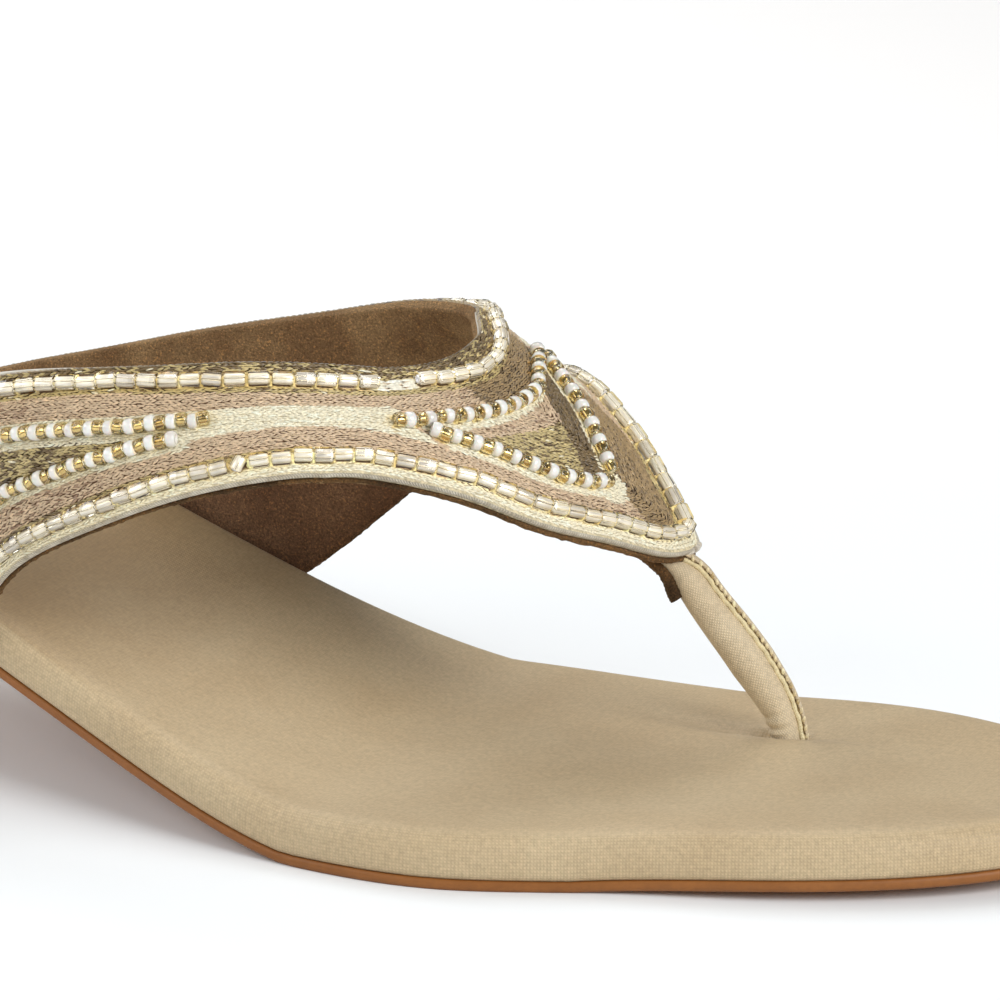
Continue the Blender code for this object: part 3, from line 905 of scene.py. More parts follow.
def cut_slot(piece):
    """Oval slot for the toe post, right through the footbed."""
    bm = bmesh.new()
    bmesh.ops.create_cone(bm, cap_ends=True, segments=48, radius1=0.5, radius2=0.5, depth=1)
    middle = float(footbed_base(SLOT_PLACE[0])) + FOOTBED_THICKNESS / 2
    bmesh.ops.scale(bm, vec=(SLOT_LENGTH, SLOT_WIDTH, FOOTBED_THICKNESS * 2), verts=bm.verts)
    bmesh.ops.translate(bm, vec=(*SLOT_PLACE, middle), verts=bm.verts)
    for vert in bm.verts:
        vert.co = to_frame(vert.co)
    cutter = in_scene("slot", mesh_of("slot", bm))
    cut = piece.modifiers.new("slot", "BOOLEAN")
    cut.operation = "DIFFERENCE"
    cut.solver = "EXACT"
    cut.object = cutter
    made = with_modifiers(piece)
    piece.modifiers.clear()
    piece.data = made
    sharpen(made, 50)
    bpy.data.objects.remove(cutter, do_unlink=True)


GLUE_LINE = 0.22            # glue that fills most of the gap under the footbed


def outsole():
    profile, lengths = edge_profile(OUTSOLE_EDGE, 9)
    bm = outline_body(
        profile, lengths,
        lambda plan, level: sole_height(plan[:, 0]) + level * (1 + GLUE_LINE / SOLE_THICKNESS),
        4, lambda x, y: sole_height(x) + SOLE_THICKNESS + GLUE_LINE,
    )
    finish = rubber("sole_rubber", shade(140, 86, 36), shade(152, 95, 42), (0.15, 120.0, 900.0),
                    (0.42, 0.62), 0.00004, 0.4)
    bmesh_piece("outsole_sheet", bm, finish, "outsole_rubber", "outsole")


# ---- heel
def tip_ring(count, inset=0.0):
    """D-shaped plan of the heel's lower end."""
    half = count // 2
    ring = []
    for k in range(count):
        turn = math.pi * (1 - abs(k - half) / half) if k else 0.0
        side = -1 if k <= half else 1
        x = TIP_BACK + inset + (TIP_LENGTH - 2 * inset) * (1 - math.cos(turn)) / 2
        sidewise = math.sin(turn) ** TIP_ROUNDNESS
        ring.append((x, HEEL_POINT[1] + side * (TIP_WIDTH / 2 - inset) * sidewise))
    return np.array(ring)


def seat_ring(rows):
    """Plan of the heel's top: the outline as far as the breast, then straight across."""
    share = 1 - np.cos(np.linspace(0, math.pi / 2, rows + 1))
    stations = HEEL_INSET + (BREAST_STATION - HEEL_INSET) * share
    outer = [(x, edge(x, -1) + HEEL_INSET) for x in stations[1:]]
    inner = [(x, edge(x, 1) - HEEL_INSET) for x in stations[:0:-1]]
    middle = (outer[-1][1] + inner[0][1]) / 2
    return np.array([(HEEL_INSET, HEEL_POINT[1]), *outer, (BREAST_STATION, middle), *inner])


def ringed_body(rings, columns):
    """Closed body from rings stacked from the bottom up, or from the top down."""
    flat = unrolled(np.concatenate([rings[0], rings[0][:1]]), run_along(rings[:, 0]))
    return capped_body(rings, flat, across_ring(rings[0], columns),
                       across_ring(rings[-1], columns))


def heel():
    """Kitten heel: a seat under the sole, drawn in to a small lower end."""
    seat = seat_ring(36)
    tip = tip_ring(len(seat))
    top = sole_height(seat[:, 0]) - GAP
    rings = []
    for level in np.linspace(0, 1, 40):
        draw_in = 1 - (1 - level) ** HEEL_SWEEP
        height = top + (LIFT_THICKNESS + GAP - top) * level
        rings.append(np.column_stack([seat + (tip - seat) * draw_in, height]))
    finish = woven_cover("heel_cover", shade(200, 178, 144), shade(186, 161, 126))
    bmesh_piece("heel_block", ringed_body(np.array(rings), 10), finish, "heel_cover", "heel",
                sharp=40)


def heel_tip():
    """Top lift: the small block that the heel stands on."""
    section = ((0.5, 0.0), (0.12, 0.12), (0.0, 0.5), (0.0, 4.6), (0.1, 4.9), (0.35, LIFT_THICKNESS))
    rings = np.array([np.column_stack([tip_ring(64, inset), np.full(64, level)])
                      for inset, level in section])
    finish = rubber("tip_rubber", shade(58, 42, 33), shade(72, 53, 41), (0.3, 300.0, 2500.0),
                    (0.5, 0.75), 0.00005, 0.35)
    bmesh_piece("heel_lift", ringed_body(rings, 6), finish, "tip_rubber", "heel_tip", sharp=50)


# ---- strap body
FABRIC_DEPTH = 1.25         # base cloth and backing
LINING_PROUD = 0.45         # lining that shows past the front edge


def strap_wall(columns):
    """Table of points for a wall that follows the strap, with its unrolled places.

    Each column is (edge it is measured from, distance inwards, lift).
    """
    girths = PIECE_GIRTHS
    rear, front = (strap.beside(side, girths, 0.5) for side in ("rear", "front"))
    table = []
    for base, inwards, lift in columns:
        if base == "face":
            share = rear + (front - rear) * inwards
        else:
            share = strap.beside(base, girths, inwards)
        table.append(strap.on(girths, share, lift=np.full(len(girths), lift + 1e-6)))
    table = np.stack(table, axis=1)
    around = run_along(table[:, len(columns) // 2])
    sections = np.linalg.norm(np.diff(table, axis=1), axis=2)
    across = np.concatenate([np.zeros((len(table), 1)), np.cumsum(sections, axis=1)], axis=1)
    flat = np.stack([np.repeat(around[:, None], len(columns), axis=1), across], axis=-1)
    return table, flat


def strap_cloth():
    """Base cloth of the strap, folded over a backing along its rear edge."""
    face = [("face", share, 0.0) for share in np.linspace(0, 1, 46)]
    under = [("face", share, -FABRIC_DEPTH) for share in np.linspace(1, 0, 12)]
    table, flat = strap_wall([
        ("rear", 0.1, -0.95), ("rear", 0.0, -0.6), ("rear", 0.1, -0.2), *face,
        ("front", 0.12, -0.15), ("front", 0.02, -0.6), ("front", 0.12, -1.05), *under,
    ])
    colour_ground(skin_piece("strap_cloth", closed_round(table), closed_round(flat),
                             ground_cloth(), "upper_fabric", "upper"))


def strap_lining(finish):
    """Suede lining, whose raw edge shows as a thin line below the piping."""
    top, low = -FABRIC_DEPTH - 0.02, -STRAP_THICKNESS
    inner = [("face", share, low) for share in np.linspace(0, 1, 40)]
    back = [("face", share, top) for share in np.linspace(1, 0, 6)]
    table, flat = strap_wall([
        ("rear", -0.04, -0.42), ("rear", -0.16, -0.62), ("rear", -0.14, low + 0.4),
        ("rear", 0.12, low + 0.06), *inner, ("front", -LINING_PROUD * 0.6, low + 0.08),
        ("front", -LINING_PROUD, low + 0.4), ("front", -LINING_PROUD * 0.8, top - 0.05), *back,
    ])
    raw = slice(len(inner) + 4, len(inner) + 7)
    table[:, raw] += random.normal(0, 0.07, table[:, raw].shape)
    # on the medial arm its rear edge stands a little over the rim
    proud = np.interp(PIECE_GIRTHS, (0.12, 0.22), (0.0, 0.3))[:, None]
    table[:, :4] += (unit(table[:, 4] - table[:, 7]) * proud)[:, None]
    skin_piece("strap_lining", closed_round(table), closed_round(flat), finish, "strap_lining",
               "upper")


def edge_cord(name, side, offset, lift, radius, finish, slot, last=2.0, rough=0.0):
    """Cord or fold along one edge of the strap; lift and radius are tables by girth."""
    girths = PIECE_GIRTHS[PIECE_GIRTHS < last]
    high = straight_line(lift, girths)
    thick = straight_line(radius, girths)
    rows = []
    for turn in np.linspace(0, FULL_TURN, 12, endpoint=False):
        here = thick * (1 + rough * random.normal(0, 1, len(girths)))
        share = strap.beside(side, girths, offset + here * math.cos(turn))
        rows.append(strap.on(girths, share, lift=high + here * math.sin(turn)))
    table = closed_round(np.stack(rows, axis=1))
    around = np.linspace(0, FULL_TURN * thick.mean(), 13)
    flat = np.stack(np.meshgrid(around, run_along(table[:, 0]))[::-1], axis=-1)
    skin_piece(name, table, flat, finish, slot, "upper")


# girth, lift and girth, radius of the fold on the rear edge
FOLD_LIFT = ((-0.60, -0.3), (-0.54, -0.5), (-0.48, -0.6))
FOLD_RADIUS = ((-0.62, 0.62), (-0.54, 0.36), (-0.48, 0.2))


# ---- embroidery plan
MIRROR_GIRTH = -0.04        # middle of the pattern, over the toe post
BEAD_ENDS = 1.02            # girth at which the bead lines go under the footbed's rim
BEAD_LIFT = 0.95

# Distance of the throat's bugles from the rear edge: girth, distance.
THROAT_LINE = (
    (-1.03, 2.0), (-0.47, 2.0), (-0.395, 2.6), (-0.31, 3.1), (-0.26, 3.3), (-0.136, 3.2),
    (-0.095, 3.7), (-0.06, 4.2), (-0.035, 4.1), (-0.015, 3.6), (0.01, 3.0), (0.05, 2.6),
    (0.09, 2.3), (0.13, 2.0), (1.03, 2.0),
)
# Distance of the border's bugles from the front edge.
BORDER_LINE = (
    (-1.03, 2.45), (-0.42, 2.3), (-0.30, 2.45), (-0.20, 2.6), (-0.04, 2.7), (0.05, 2.8),
    (0.12, 2.4), (0.15, 2.8), (0.18, 4.2), (0.22, 4.6), (0.28, 4.0), (0.40, 2.8), (1.03, 2.6),
)
# Peak motif: its rear line from the rear edge, its outer line from the front edge, and its
# inner line by station, from its point back to its inner corner.
PEAK_REAR = (
    (-0.222, 10.0), (-0.17, 10.1), (-0.12, 10.7), (-0.06, 11.3), (-0.03, 11.3), (-0.005, 10.1),
    (0.03, 9.2), (0.122, 9.1),
)
PEAK_NEAR = (
    (-0.197, 9.3), (-0.185, 9.1), (-0.14, 9.1), (-0.105, 8.7), (-0.07, 8.9), (-0.042, 10.0),
)
PEAK_FAR = (
    (-0.035, 173.1), (-0.018, 169.6), (0.000, 166.3), (0.035, 163.0), (0.060, 160.7),
    (0.090, 158.4), (0.122, 156.6),
)
WING_REAR = ((-1.03, 8.5), (-0.6, 8.4), (-0.406, 8.5))
WING_FRONT = ((-1.03, 9.8), (-0.73, 9.3), (-0.57, 8.6), (-0.462, 7.9))
STRIP_REAR = 6.9            # cream strip between the motifs, from each edge
STRIP_FRONT = 7.3
THROAT_GAP = (-0.197, -0.158)       # girths between which the bugles are left out
NO_GAP = (2.0, 2.0)                 # past the end of every line
SLIPPED_GIRTH = -0.419              # one border bugle has slipped round


def mirrored(girth):
    """Girth of the same place in the pattern on the other arm."""
    girth = np.asarray(girth, float)
    away = (MIRROR_GIRTH - girth) / (1 + MIRROR_GIRTH)
    back = (girth - MIRROR_GIRTH) / (1 - MIRROR_GIRTH)
    return np.where(girth < MIRROR_GIRTH, MIRROR_GIRTH + away * (1 - MIRROR_GIRTH),
                    MIRROR_GIRTH - back * (1 + MIRROR_GIRTH))


def on_outer_arm(girth):
    return np.where(girth < MIRROR_GIRTH, girth, mirrored(girth))


def on_other_arm(table):
    return [(float(mirrored(girth)), far) for girth, far in table]


def edge_line(side, table, step=0.004):
    """Line at a table's distances from one edge."""
    known, far = np.array(table).T
    order = np.argsort(known)
    girth = np.linspace(known[0], known[-1], max(int(abs(known[-1] - known[0]) / step), 4))
    return Line(girth, strap.beside(side, girth, np.interp(girth, known[order], far[order])))


FAR_GIRTHS = np.linspace(PEAK_FAR[0][0], PEAK_FAR[-1][0], 40)
LINES = {
    "throat": edge_line("rear", THROAT_LINE),
    "border": edge_line("front", BORDER_LINE),
    "peak_rear": edge_line("rear", PEAK_REAR),
    "peak_near": edge_line("front", PEAK_NEAR),
    "peak_far": Line(FAR_GIRTHS, strap.share_at(FAR_GIRTHS, straight_line(PEAK_FAR, FAR_GIRTHS))),
    "outer_wing_rear": edge_line("rear", WING_REAR),
    "outer_wing_front": edge_line("front", WING_FRONT),
    "inner_wing_rear": edge_line("rear", on_other_arm(WING_REAR)),
    "inner_wing_front": edge_line("front", on_other_arm(WING_FRONT)),
}


def crossing_share(lines, girth, **beyond):
    """Share at which one of the lines crosses each girth."""
    known = np.concatenate([line.girth for line in lines])
    share = np.concatenate([line.share for line in lines])
    order = np.argsort(known)
    return np.interp(girth, known[order], share[order], **beyond)


def line_share(girth, *names):
    """Share at which one of the named lines crosses each girth, and none past their ends."""
    return crossing_share([LINES[name] for name in names], girth, left=np.nan, right=np.nan)


def beside_line(name, points):
    """Distance of points from a bead line."""
    line = LINES[name].points
    parts = np.array_split(points, max(len(points) // 2000, 1))
    return np.concatenate([far_from(part, line) for part in parts])


def from_edges(girth, share):
    """Distances from the rear and front edges, and past the bugles along each of them."""
    rear, front = (strap.read(strap.off[side], girth, share) for side in ("rear", "front"))
    return (rear, front, rear - straight_line(THROAT_LINE, girth),
            front - straight_line(BORDER_LINE, girth))


THREADS = (
    # name, light, dark, cloth under it
    ("olive", shade(200, 180, 126), shade(104, 82, 46), shade(66, 50, 30)),
    ("rose", shade(214, 188, 155), shade(146, 111, 84), shade(100, 72, 52)),
    ("cream", shade(246, 237, 208), shade(238, 227, 197), shade(218, 204, 170)),
    ("moss", shade(126, 105, 71), shade(78, 60, 37), shade(62, 47, 28)),
    # umber: a darker thread, deepened by painted shade where the strap turns away from the light
    ("umber", shade(166, 140, 100), shade(70, 51, 32), shade(60, 42, 28)),
)
OLIVE, ROSE, CREAM, MOSS, UMBER = range(len(THREADS))
# Reach of the trims from the bead lines.
WING_INSIDE = 2.1           # cream within a wing, from its rear line
WING_ABOVE = 1.45           # cream past a wing's rear line
WING_BELOW = 1.75           # cream past a wing's front line
PEAK_MOSS = 5.0             # moss within the peak, from its inner line
PEAK_INSIDE = 1.25          # cream between the moss and that line
PEAK_BESIDE = 1.3           # bare of umber past that line
PEAK_BELOW = 1.95           # cream past the peak's outer line
PEAK_POINT = 3.2            # cream round the peak's point
# Bands past the bugles, and the rims between the bugles and the edges.
THROAT_BAND = (0.7, 1.75)
BORDER_BAND = (0.8, 1.65)
THROAT_RIM = -0.7
BORDER_RIM = -0.6


def thread_at(girth, share):
    """Thread that covers each place of the strap."""
    points = strap.on(girth, share)
    rear, front, past_throat, past_border = from_edges(girth, share)
    outer = on_outer_arm(girth)
    colour = np.full(girth.shape, ROSE)
    # cream strip between the motifs
    strip = (outer > WING_FRONT[-1][0] - 0.02) & (outer < PEAK_REAR[0][0] + 0.02)
    colour[strip & (rear > STRIP_REAR) & (front > STRIP_FRONT)] = CREAM
    # wings
    for wing in ("outer_wing", "inner_wing"):
        upper = line_share(girth, wing + "_rear")
        lower = line_share(girth, wing + "_front")
        to_upper = beside_line(wing + "_rear", points)
        to_lower = beside_line(wing + "_front", points)
        lower = np.where(np.isnan(lower) & ~np.isnan(upper), upper, lower)
        within = (share > upper) & (share < lower)
        colour[within] = np.where(to_upper[within] < WING_INSIDE, CREAM, OLIVE)
        colour[(share <= upper) & (to_upper < WING_ABOVE)] = CREAM
        colour[(share >= lower) & (to_lower < WING_BELOW)] = CREAM
    # peak
    to_rear, to_near, to_far = (beside_line("peak_" + part, points)
                                for part in ("rear", "near", "far"))
    start = line_share(girth, "peak_rear")
    stop = line_share(girth, "peak_near", "peak_far")
    within = (share > start) & (share < stop)
    narrow = np.interp(girth, (-0.2, -0.05, 0.03, 0.1), (2.2, 1.9, 1.3, 1.0))
    rose = np.interp(girth, (-0.2, -0.12, -0.03, 0.05), (0.6, 2.2, 3.6, 2.6))
    colour[within] = OLIVE
    colour[within & (to_rear < narrow + rose)] = ROSE
    colour[within & (to_rear < narrow)] = CREAM
    colour[within & (to_far < PEAK_MOSS)] = MOSS
    colour[within & (to_far < PEAK_INSIDE)] = CREAM
    beyond = share >= stop
    colour[beyond & (to_near < PEAK_BELOW) & (girth < PEAK_FAR[0][0])] = CREAM
    to_point = np.linalg.norm(points - LINES["peak_near"].points[-1], axis=1)
    colour[beyond & (to_point < PEAK_POINT)] = CREAM
    # painted shade in part: past the peak's inner line and behind the peak the rose turns to the
    # darker umber thread, where the strap turns away from the light
    inner = (to_far > PEAK_BESIDE) & (girth > PEAK_FAR[0][0])
    colour[beyond & inner & (colour == ROSE)] = UMBER
    colour[(share < start) & (girth > -0.10) & (girth < 0.2)] = UMBER
    # bands beside the bugles and along the edges
    colour[(past_throat > THROAT_BAND[0]) & (past_throat < THROAT_BAND[1])] = OLIVE
    colour[past_throat < THROAT_RIM] = OLIVE
    colour[(past_border > BORDER_BAND[0]) & (past_border < BORDER_BAND[1])] = OLIVE
    colour[past_border < BORDER_RIM] = CREAM
    return colour


def colour_ground(piece):
    """Gives the base cloth the darkened colour of the thread over it."""
    mesh = piece.data
    layer = mesh.attributes.new("ground", "FLOAT_COLOR", "POINT")
    surface = strap.points[::2, ::2] - (LENGTH / 2, 0.0, 0.0)
    columns = surface.shape[1]
    tree = KDTree(surface.shape[0] * columns)
    for index, point in enumerate(surface.reshape(-1, 3)):
        tree.insert(point, index)
    tree.balance()
    nearest = np.array([tree.find(vert.co / MM)[1] for vert in mesh.vertices])
    threads = thread_at(strap.girths[::2][nearest // columns], strap.shares[::2][nearest % columns])
    colours = np.array([row[3] for row in THREADS])[threads]
    layer.data.foreach_set("color", colours.astype(np.float32).ravel())


# ---- stitches
ROW_SPACING = 0.33
FIRST_ROWS = (("rear", 0.22), ("front", 0.62))      # edge, distance from it
LAST_ROW = 32.0
ROW_ENDS = (0.002, 0.998)               # shares between which stitches lie
ROWS_MEET = 0.01                        # share by which the two sets of rows overlap
STITCH_PITCH = 0.88
STITCH_SIZE = (1.25, 0.29, 0.24)        # length, width, height
STITCH_SPREAD = ((0.85, 1.15), (0.8, 1.2), (0.7, 1.25))
STITCH_SWING = math.radians(12)
SHORTEST_ROW = 6                        # steps of girth
RIM_PITCH = 0.9
RIM_STITCH = (1.35, 0.42, 0.18)         # length, width, height
RIM_ROWS = (("upper", -0.04, math.radians(-16)), ("lower", -0.32, math.radians(16)))


def stitch_shape():
    """One leg of a chain stitch: a small arched strand whose ends dive into the cloth."""
    bm = bmesh.new()
    bmesh.ops.create_grid(bm, x_segments=3, y_segments=2, size=0.5)
    for vert in bm.verts:
        along, across = vert.co.x * 2, vert.co.y * 2
        taper = 1 - 0.7 * abs(along) ** 3
        height = (1 - along ** 2) * (1 - 0.85 * across ** 2) - 0.25 * along ** 2
        vert.co = (vert.co.x, vert.co.y * taper, height)
    return bm


def sew_thread(name, seats, finish, sizes, tones=None, slot="embroidery_thread"):
    return sew_on(name, stitch_shape(), seats, finish, slot, sizes, tones)


def family_split(girth):
    """Share up to which the rows follow the rear edge, and past which the front edge."""
    lines = [edge_line("front", table) for table in (WING_FRONT, on_other_arm(WING_FRONT))]
    strip = np.array((WING_FRONT[-1][0] + 0.02, PEAK_REAR[0][0] - 0.01))
    for first, last in (strip, mirrored(strip)):
        between = np.linspace(float(first), float(last), 30)
        lines.append(Line(between, strap.beside("front", between, STRIP_FRONT)))
    lines.append(LINES["peak_rear"])
    return crossing_share(lines, girth)


def stitch_rows():
    """Seats and places of every stitch, in rows beside both edges."""
    seats, places = [], []
    split = family_split(SEWN_GIRTHS)
    for side, nearest in FIRST_ROWS:
        for number, offset in enumerate(np.arange(nearest, LAST_ROW, ROW_SPACING)):
            share = strap.beside(side, SEWN_GIRTHS, offset)
            own = share < split + ROWS_MEET if side == "rear" else share > split - ROWS_MEET
            keep = (share > ROW_ENDS[0]) & (share < ROW_ENDS[1]) & own
            ends = np.flatnonzero(np.diff(np.concatenate([[0], keep.view(np.int8), [0]])))
            for first, last in zip(ends[::2], ends[1::2]):
                if last - first < SHORTEST_ROW:
                    continue
                line = Line(SEWN_GIRTHS[first:last], share[first:last])
                at = line.spaced(STITCH_PITCH, 0.18)
                if not len(at):
                    continue
                at = at + (number % 2) * STITCH_PITCH * 0.5
                swing = STITCH_SWING * (1 if number % 2 else -1)
                swing = swing + random.normal(0, math.radians(5), len(at))
                aside = random.normal(0, 0.04, len(at))
                lift = random.uniform(0.0, 0.1, len(at))
                seats.append(line.seats(at, lift, 0.6, aside, swing))
                places.append(np.stack(line.at(at), axis=1))
    return np.concatenate(seats), np.concatenate(places)


def embroidery():
    """All the thread work, one piece for each thread."""
    seats, places = stitch_rows()
    girth, share = places.T
    colour = thread_at(girth, share)
    _, _, past_throat, past_border = from_edges(girth, share)
    under_beads = (np.abs(past_throat) < 0.55) | (np.abs(past_border) < 0.55)
    under_beads &= (girth < THROAT_GAP[0] - 0.005) | (girth > THROAT_GAP[1] + 0.012)
    outer = on_outer_arm(girth)
    stray = random.random(len(girth))
    darker = np.interp(outer, (-0.95, -0.7, -0.55), (0.8, 0.35, 0.1))
    darker = np.where(past_throat < THROAT_RIM, 0.66, darker)
    colour[(colour == OLIVE) & (stray < darker)] = MOSS
    colour[(colour == OLIVE) & (stray > 0.985)] = CREAM
    calm = np.interp(outer, (-0.65, -0.5, -0.2, -0.1), (0.0, 0.4, 0.4, 0.1))
    tones = calm + (1 - calm) * random.random(len(girth))
    for code, (name, light, dark, _) in enumerate(THREADS):
        mine = (colour == code) & ~under_beads
        sizes = np.stack([size * random.uniform(*spread, int(mine.sum()))
                          for size, spread in zip(STITCH_SIZE, STITCH_SPREAD)], axis=1)
        sew_thread(name + "_stitches", seats[mine], thread(name + "_thread", light, dark), sizes,
                   tones[mine])


def off_edge(girth, rim, inside):
    """Directions out over the strap's edge, from a share inside it to the rim's."""
    return unit(strap.on(girth, rim) - strap.on(girth, inside))


def rim_stitches():
    """Chain of olive stitches wrapped over the strap's rear edge."""
    finish = thread("rim_thread", shade(150, 128, 86), shade(68, 52, 32))
    rim = Line(SEWN_GIRTHS, 0.0)
    for name, lift, swing in RIM_ROWS:
        at = rim.spaced(RIM_PITCH, 0.15)
        seats = rim.seats(at, lift, 0.6)
        outwards = off_edge(rim.at(at)[0], 0.0, 0.05)
        across = np.cross(outwards, seats[:, 1])
        seats[:, 1] = seats[:, 1] * math.cos(swing) + across * math.sin(swing)
        seats[:, 2] = unit(outwards + seats[:, 2] * 0.3 * (lift + 0.5))
        sizes = RIM_STITCH * random.uniform(0.85, 1.15, (len(at), 1))
        sew_thread("rim_stitches_" + name, seats, finish, sizes)


def corner_twist():
    """Piping twisted over itself at the strap's front corner."""
    count = 4
    rim = Line(SEWN_GIRTHS, 1.0)
    at = rim.run[rim.points[:, 0].argmax()] + np.linspace(-1.4, 0.9, count)
    seats = rim.seats(at, np.linspace(-0.6, -0.3, count), 0.5)
    outwards = off_edge(rim.at(at)[0], 1.0, 0.95)
    across = np.cross(outwards, seats[:, 1])
    seats[:, 1] = unit(seats[:, 1] + across * 0.4)
    seats[:, 2] = outwards
    seats[:, 0] += outwards * 0.05
    finish = thread("twist_thread", shade(206, 196, 180), shade(150, 136, 116))
    sew_on("corner_twist", seed_bead(1.5, 0.5, 0.06), seats, finish, "piping_fabric", 1.0)


# ---- beads
def turned_bead(section, sides):
    """Bead from a closed section of (along, radius) points, turned about X."""
    bm = bmesh.new()
    rings = [[bm.verts.new((along, -radius * math.sin(turn), radius * math.cos(turn)))
              for along, radius in section]
             for turn in np.linspace(0, FULL_TURN, sides, endpoint=False)]
    for side in range(sides):
        last, ring = rings[side - 1], rings[side]
        for k in range(len(section)):
            bm.faces.new((last[k - 1], last[k], ring[k], ring[k - 1]))
    bmesh.ops.recalc_face_normals(bm, faces=bm.faces)
    return bm


def tube_bead(length, radius, bore, sides):
    end, cut = length / 2, 0.1
    return turned_bead(((-end, bore), (-end, radius - cut), (-end + cut, radius),
                        (end - cut, radius), (end, radius - cut), (end, bore)), sides)


def seed_bead(length, radius, bore, corners=8):
    """Bead with a rounded ring section round the bore."""
    middle, half = (radius + bore) / 2, (radius - bore) / 2
    turns = np.linspace(0, FULL_TURN, corners, endpoint=False) + math.pi / corners
    return turned_bead([
        (length / 2 * math.copysign(abs(math.cos(turn)) ** 0.8, math.cos(turn)),
         middle + half * math.copysign(abs(math.sin(turn)) ** 0.8, math.sin(turn)))
        for turn in turns], 12)


def bugle_seats(line, pitch, gap, slipped):
    """Seats and sizes of the bugles along a line but for its gap, and seats between them.

    The bugle nearest to the slipped girth lies askew on its thread.
    """
    at = line.spaced(pitch, 0.1)
    lengths = np.gradient(at) * random.uniform(0.88, 0.96, len(at))
    swing = random.normal(0, math.radians(2.5), len(at))
    aside = random.normal(0, 0.07, len(at))
    seats = line.seats(at, BEAD_LIFT, 1.2, aside, swing)
    here, _ = line.at(at)
    turns = random.uniform(0, math.pi / 3, len(at))[:, None]
    if slipped is not None:
        askew = np.abs(here - slipped).argmin()
        across = np.cross(seats[askew, 2], seats[askew, 1])
        seats[askew, 1] = seats[askew, 1] * 0.6 + across * 0.8
        lengths[askew] *= 0.8
    keep = (here < gap[0]) | (here > gap[1])
    kept = seats[keep]
    between = (kept[1:] + kept[:-1]) / 2
    between[:, 1:] = unit(between[:, 1:])
    between[:, 0] -= between[:, 2] * 0.85
    near = np.linalg.norm(np.diff(kept[:, 0], axis=0), axis=1) < pitch * 1.4
    # each bugle rolls about its own length
    across = np.cross(seats[:, 2], unit(seats[:, 1]))
    seats[:, 2] = seats[:, 2] * np.cos(turns) + across * np.sin(turns)
    sizes = np.stack([lengths, np.ones(len(at)), np.ones(len(at))], axis=1)
    return seats[keep], sizes[keep], between[near]


BUGLE_ROWS = (
    # line, pitch, gap, slipped bugle
    ("throat", 3.05, THROAT_GAP, None),
    ("border", 2.88, NO_GAP, SLIPPED_GIRTH),
)
BUGLE_RADIUS = 1.2
BUGLE_BORE = 0.7
SEED_PITCH = 1.5            # white and gold seeds take turns
WHITE_SEED = (1.45, 1.12, 0.35)     # length, radius, bore
GOLD_SEED = (1.68, 1.15, 0.63)
CLEARANCE = 0.02            # between a bead's bore and its lining


def bugles():
    """Hexagonal glass tubes over a pale lining, along the throat and the border."""
    glass = bead_glass("clear_glass", (1.0, 0.938, 0.755, 1.0))
    made = []
    for name, *row in BUGLE_ROWS:
        made.append(bugle_seats(LINES[name], *row))
        seats, sizes, _ = made[-1]
        piece = sew_on(name + "_bugles", tube_bead(1.0, BUGLE_RADIUS, BUGLE_BORE, 6), seats,
                       glass, "clear_beads", sizes)
        sharpen(piece.data, 30)
    seats, sizes, knots = (np.concatenate(part) for part in zip(*made))
    enamel = bead_enamel("pale_lining", shade(240, 241, 251), shade(206, 205, 217), roughness=0.16,
                         metallic=0.34, specular=0.85)
    sew_on("bugle_linings", tube_bead(1.0, BUGLE_BORE - CLEARANCE, 0.2, 10), seats, enamel,
           "clear_beads", sizes * (0.97, 1, 1))
    sew_thread("bugle_knots", knots,
               thread("knot_thread", shade(240, 226, 176), shade(214, 190, 130)), (1.1, 1.8, 1.6))


def seed_beads():
    """White and gold seed beads that take turns along the lines of the motifs."""
    white, gold = [], []
    lines = (
        # line, from its far end, first bead is gold
        ("outer_wing_rear", True, True),
        ("inner_wing_rear", True, True),
        ("outer_wing_front", True, False),
        ("inner_wing_front", True, False),
        ("peak_rear", False, True),
        ("peak_near", False, False),
        ("peak_far", False, True),
    )
    for name, backwards, gold_first in lines:
        # the far line leaves its first place to the near line's bead
        way = slice(None, None, -1) if backwards else slice(int(name == "peak_far"), None)
        line = Line(LINES[name].girth[way], LINES[name].share[way])
        at = line.spaced(SEED_PITCH, 0.08)
        at = at[np.abs(line.at(at)[0]) < BEAD_ENDS]
        swing = random.normal(0, math.radians(7), len(at))
        aside = random.normal(0, 0.08, len(at))
        seats = line.seats(at, BEAD_LIFT, 0.8, aside, swing)
        turns = np.arange(len(at)) % 2 == (0 if gold_first else 1)
        gold.append(seats[turns])
        white.append(seats[~turns])
    milk = bead_enamel("white_enamel", shade(234, 233, 228), shade(220, 216, 208), roughness=0.16,
                       specular=0.5, coat_weight=0.7, coat_roughness=0.06,
                       subsurface_weight=0.15, subsurface_scale=0.0006)
    amber = bead_glass("amber_glass", (0.93, 0.82, 0.54, 1.0))
    for name, seats, shape, finish in (("white", np.concatenate(white), WHITE_SEED, milk),
                                       ("gold", np.concatenate(gold), GOLD_SEED, amber)):
        sizes = random.uniform(0.93, 1.05, (len(seats), 1))
        sew_on(name + "_seed_beads", seed_bead(*shape), seats, finish, name + "_beads", sizes)
    foil = bead_enamel("silver_foil", shade(246, 238, 214), shade(196, 176, 132), roughness=0.18,
                       metallic=1.0)
    length, _, bore = GOLD_SEED
    sew_on("gold_seed_linings", tube_bead(length * 0.9, bore - CLEARANCE, 0.15, 10), seats, foil,
           "gold_beads", sizes)


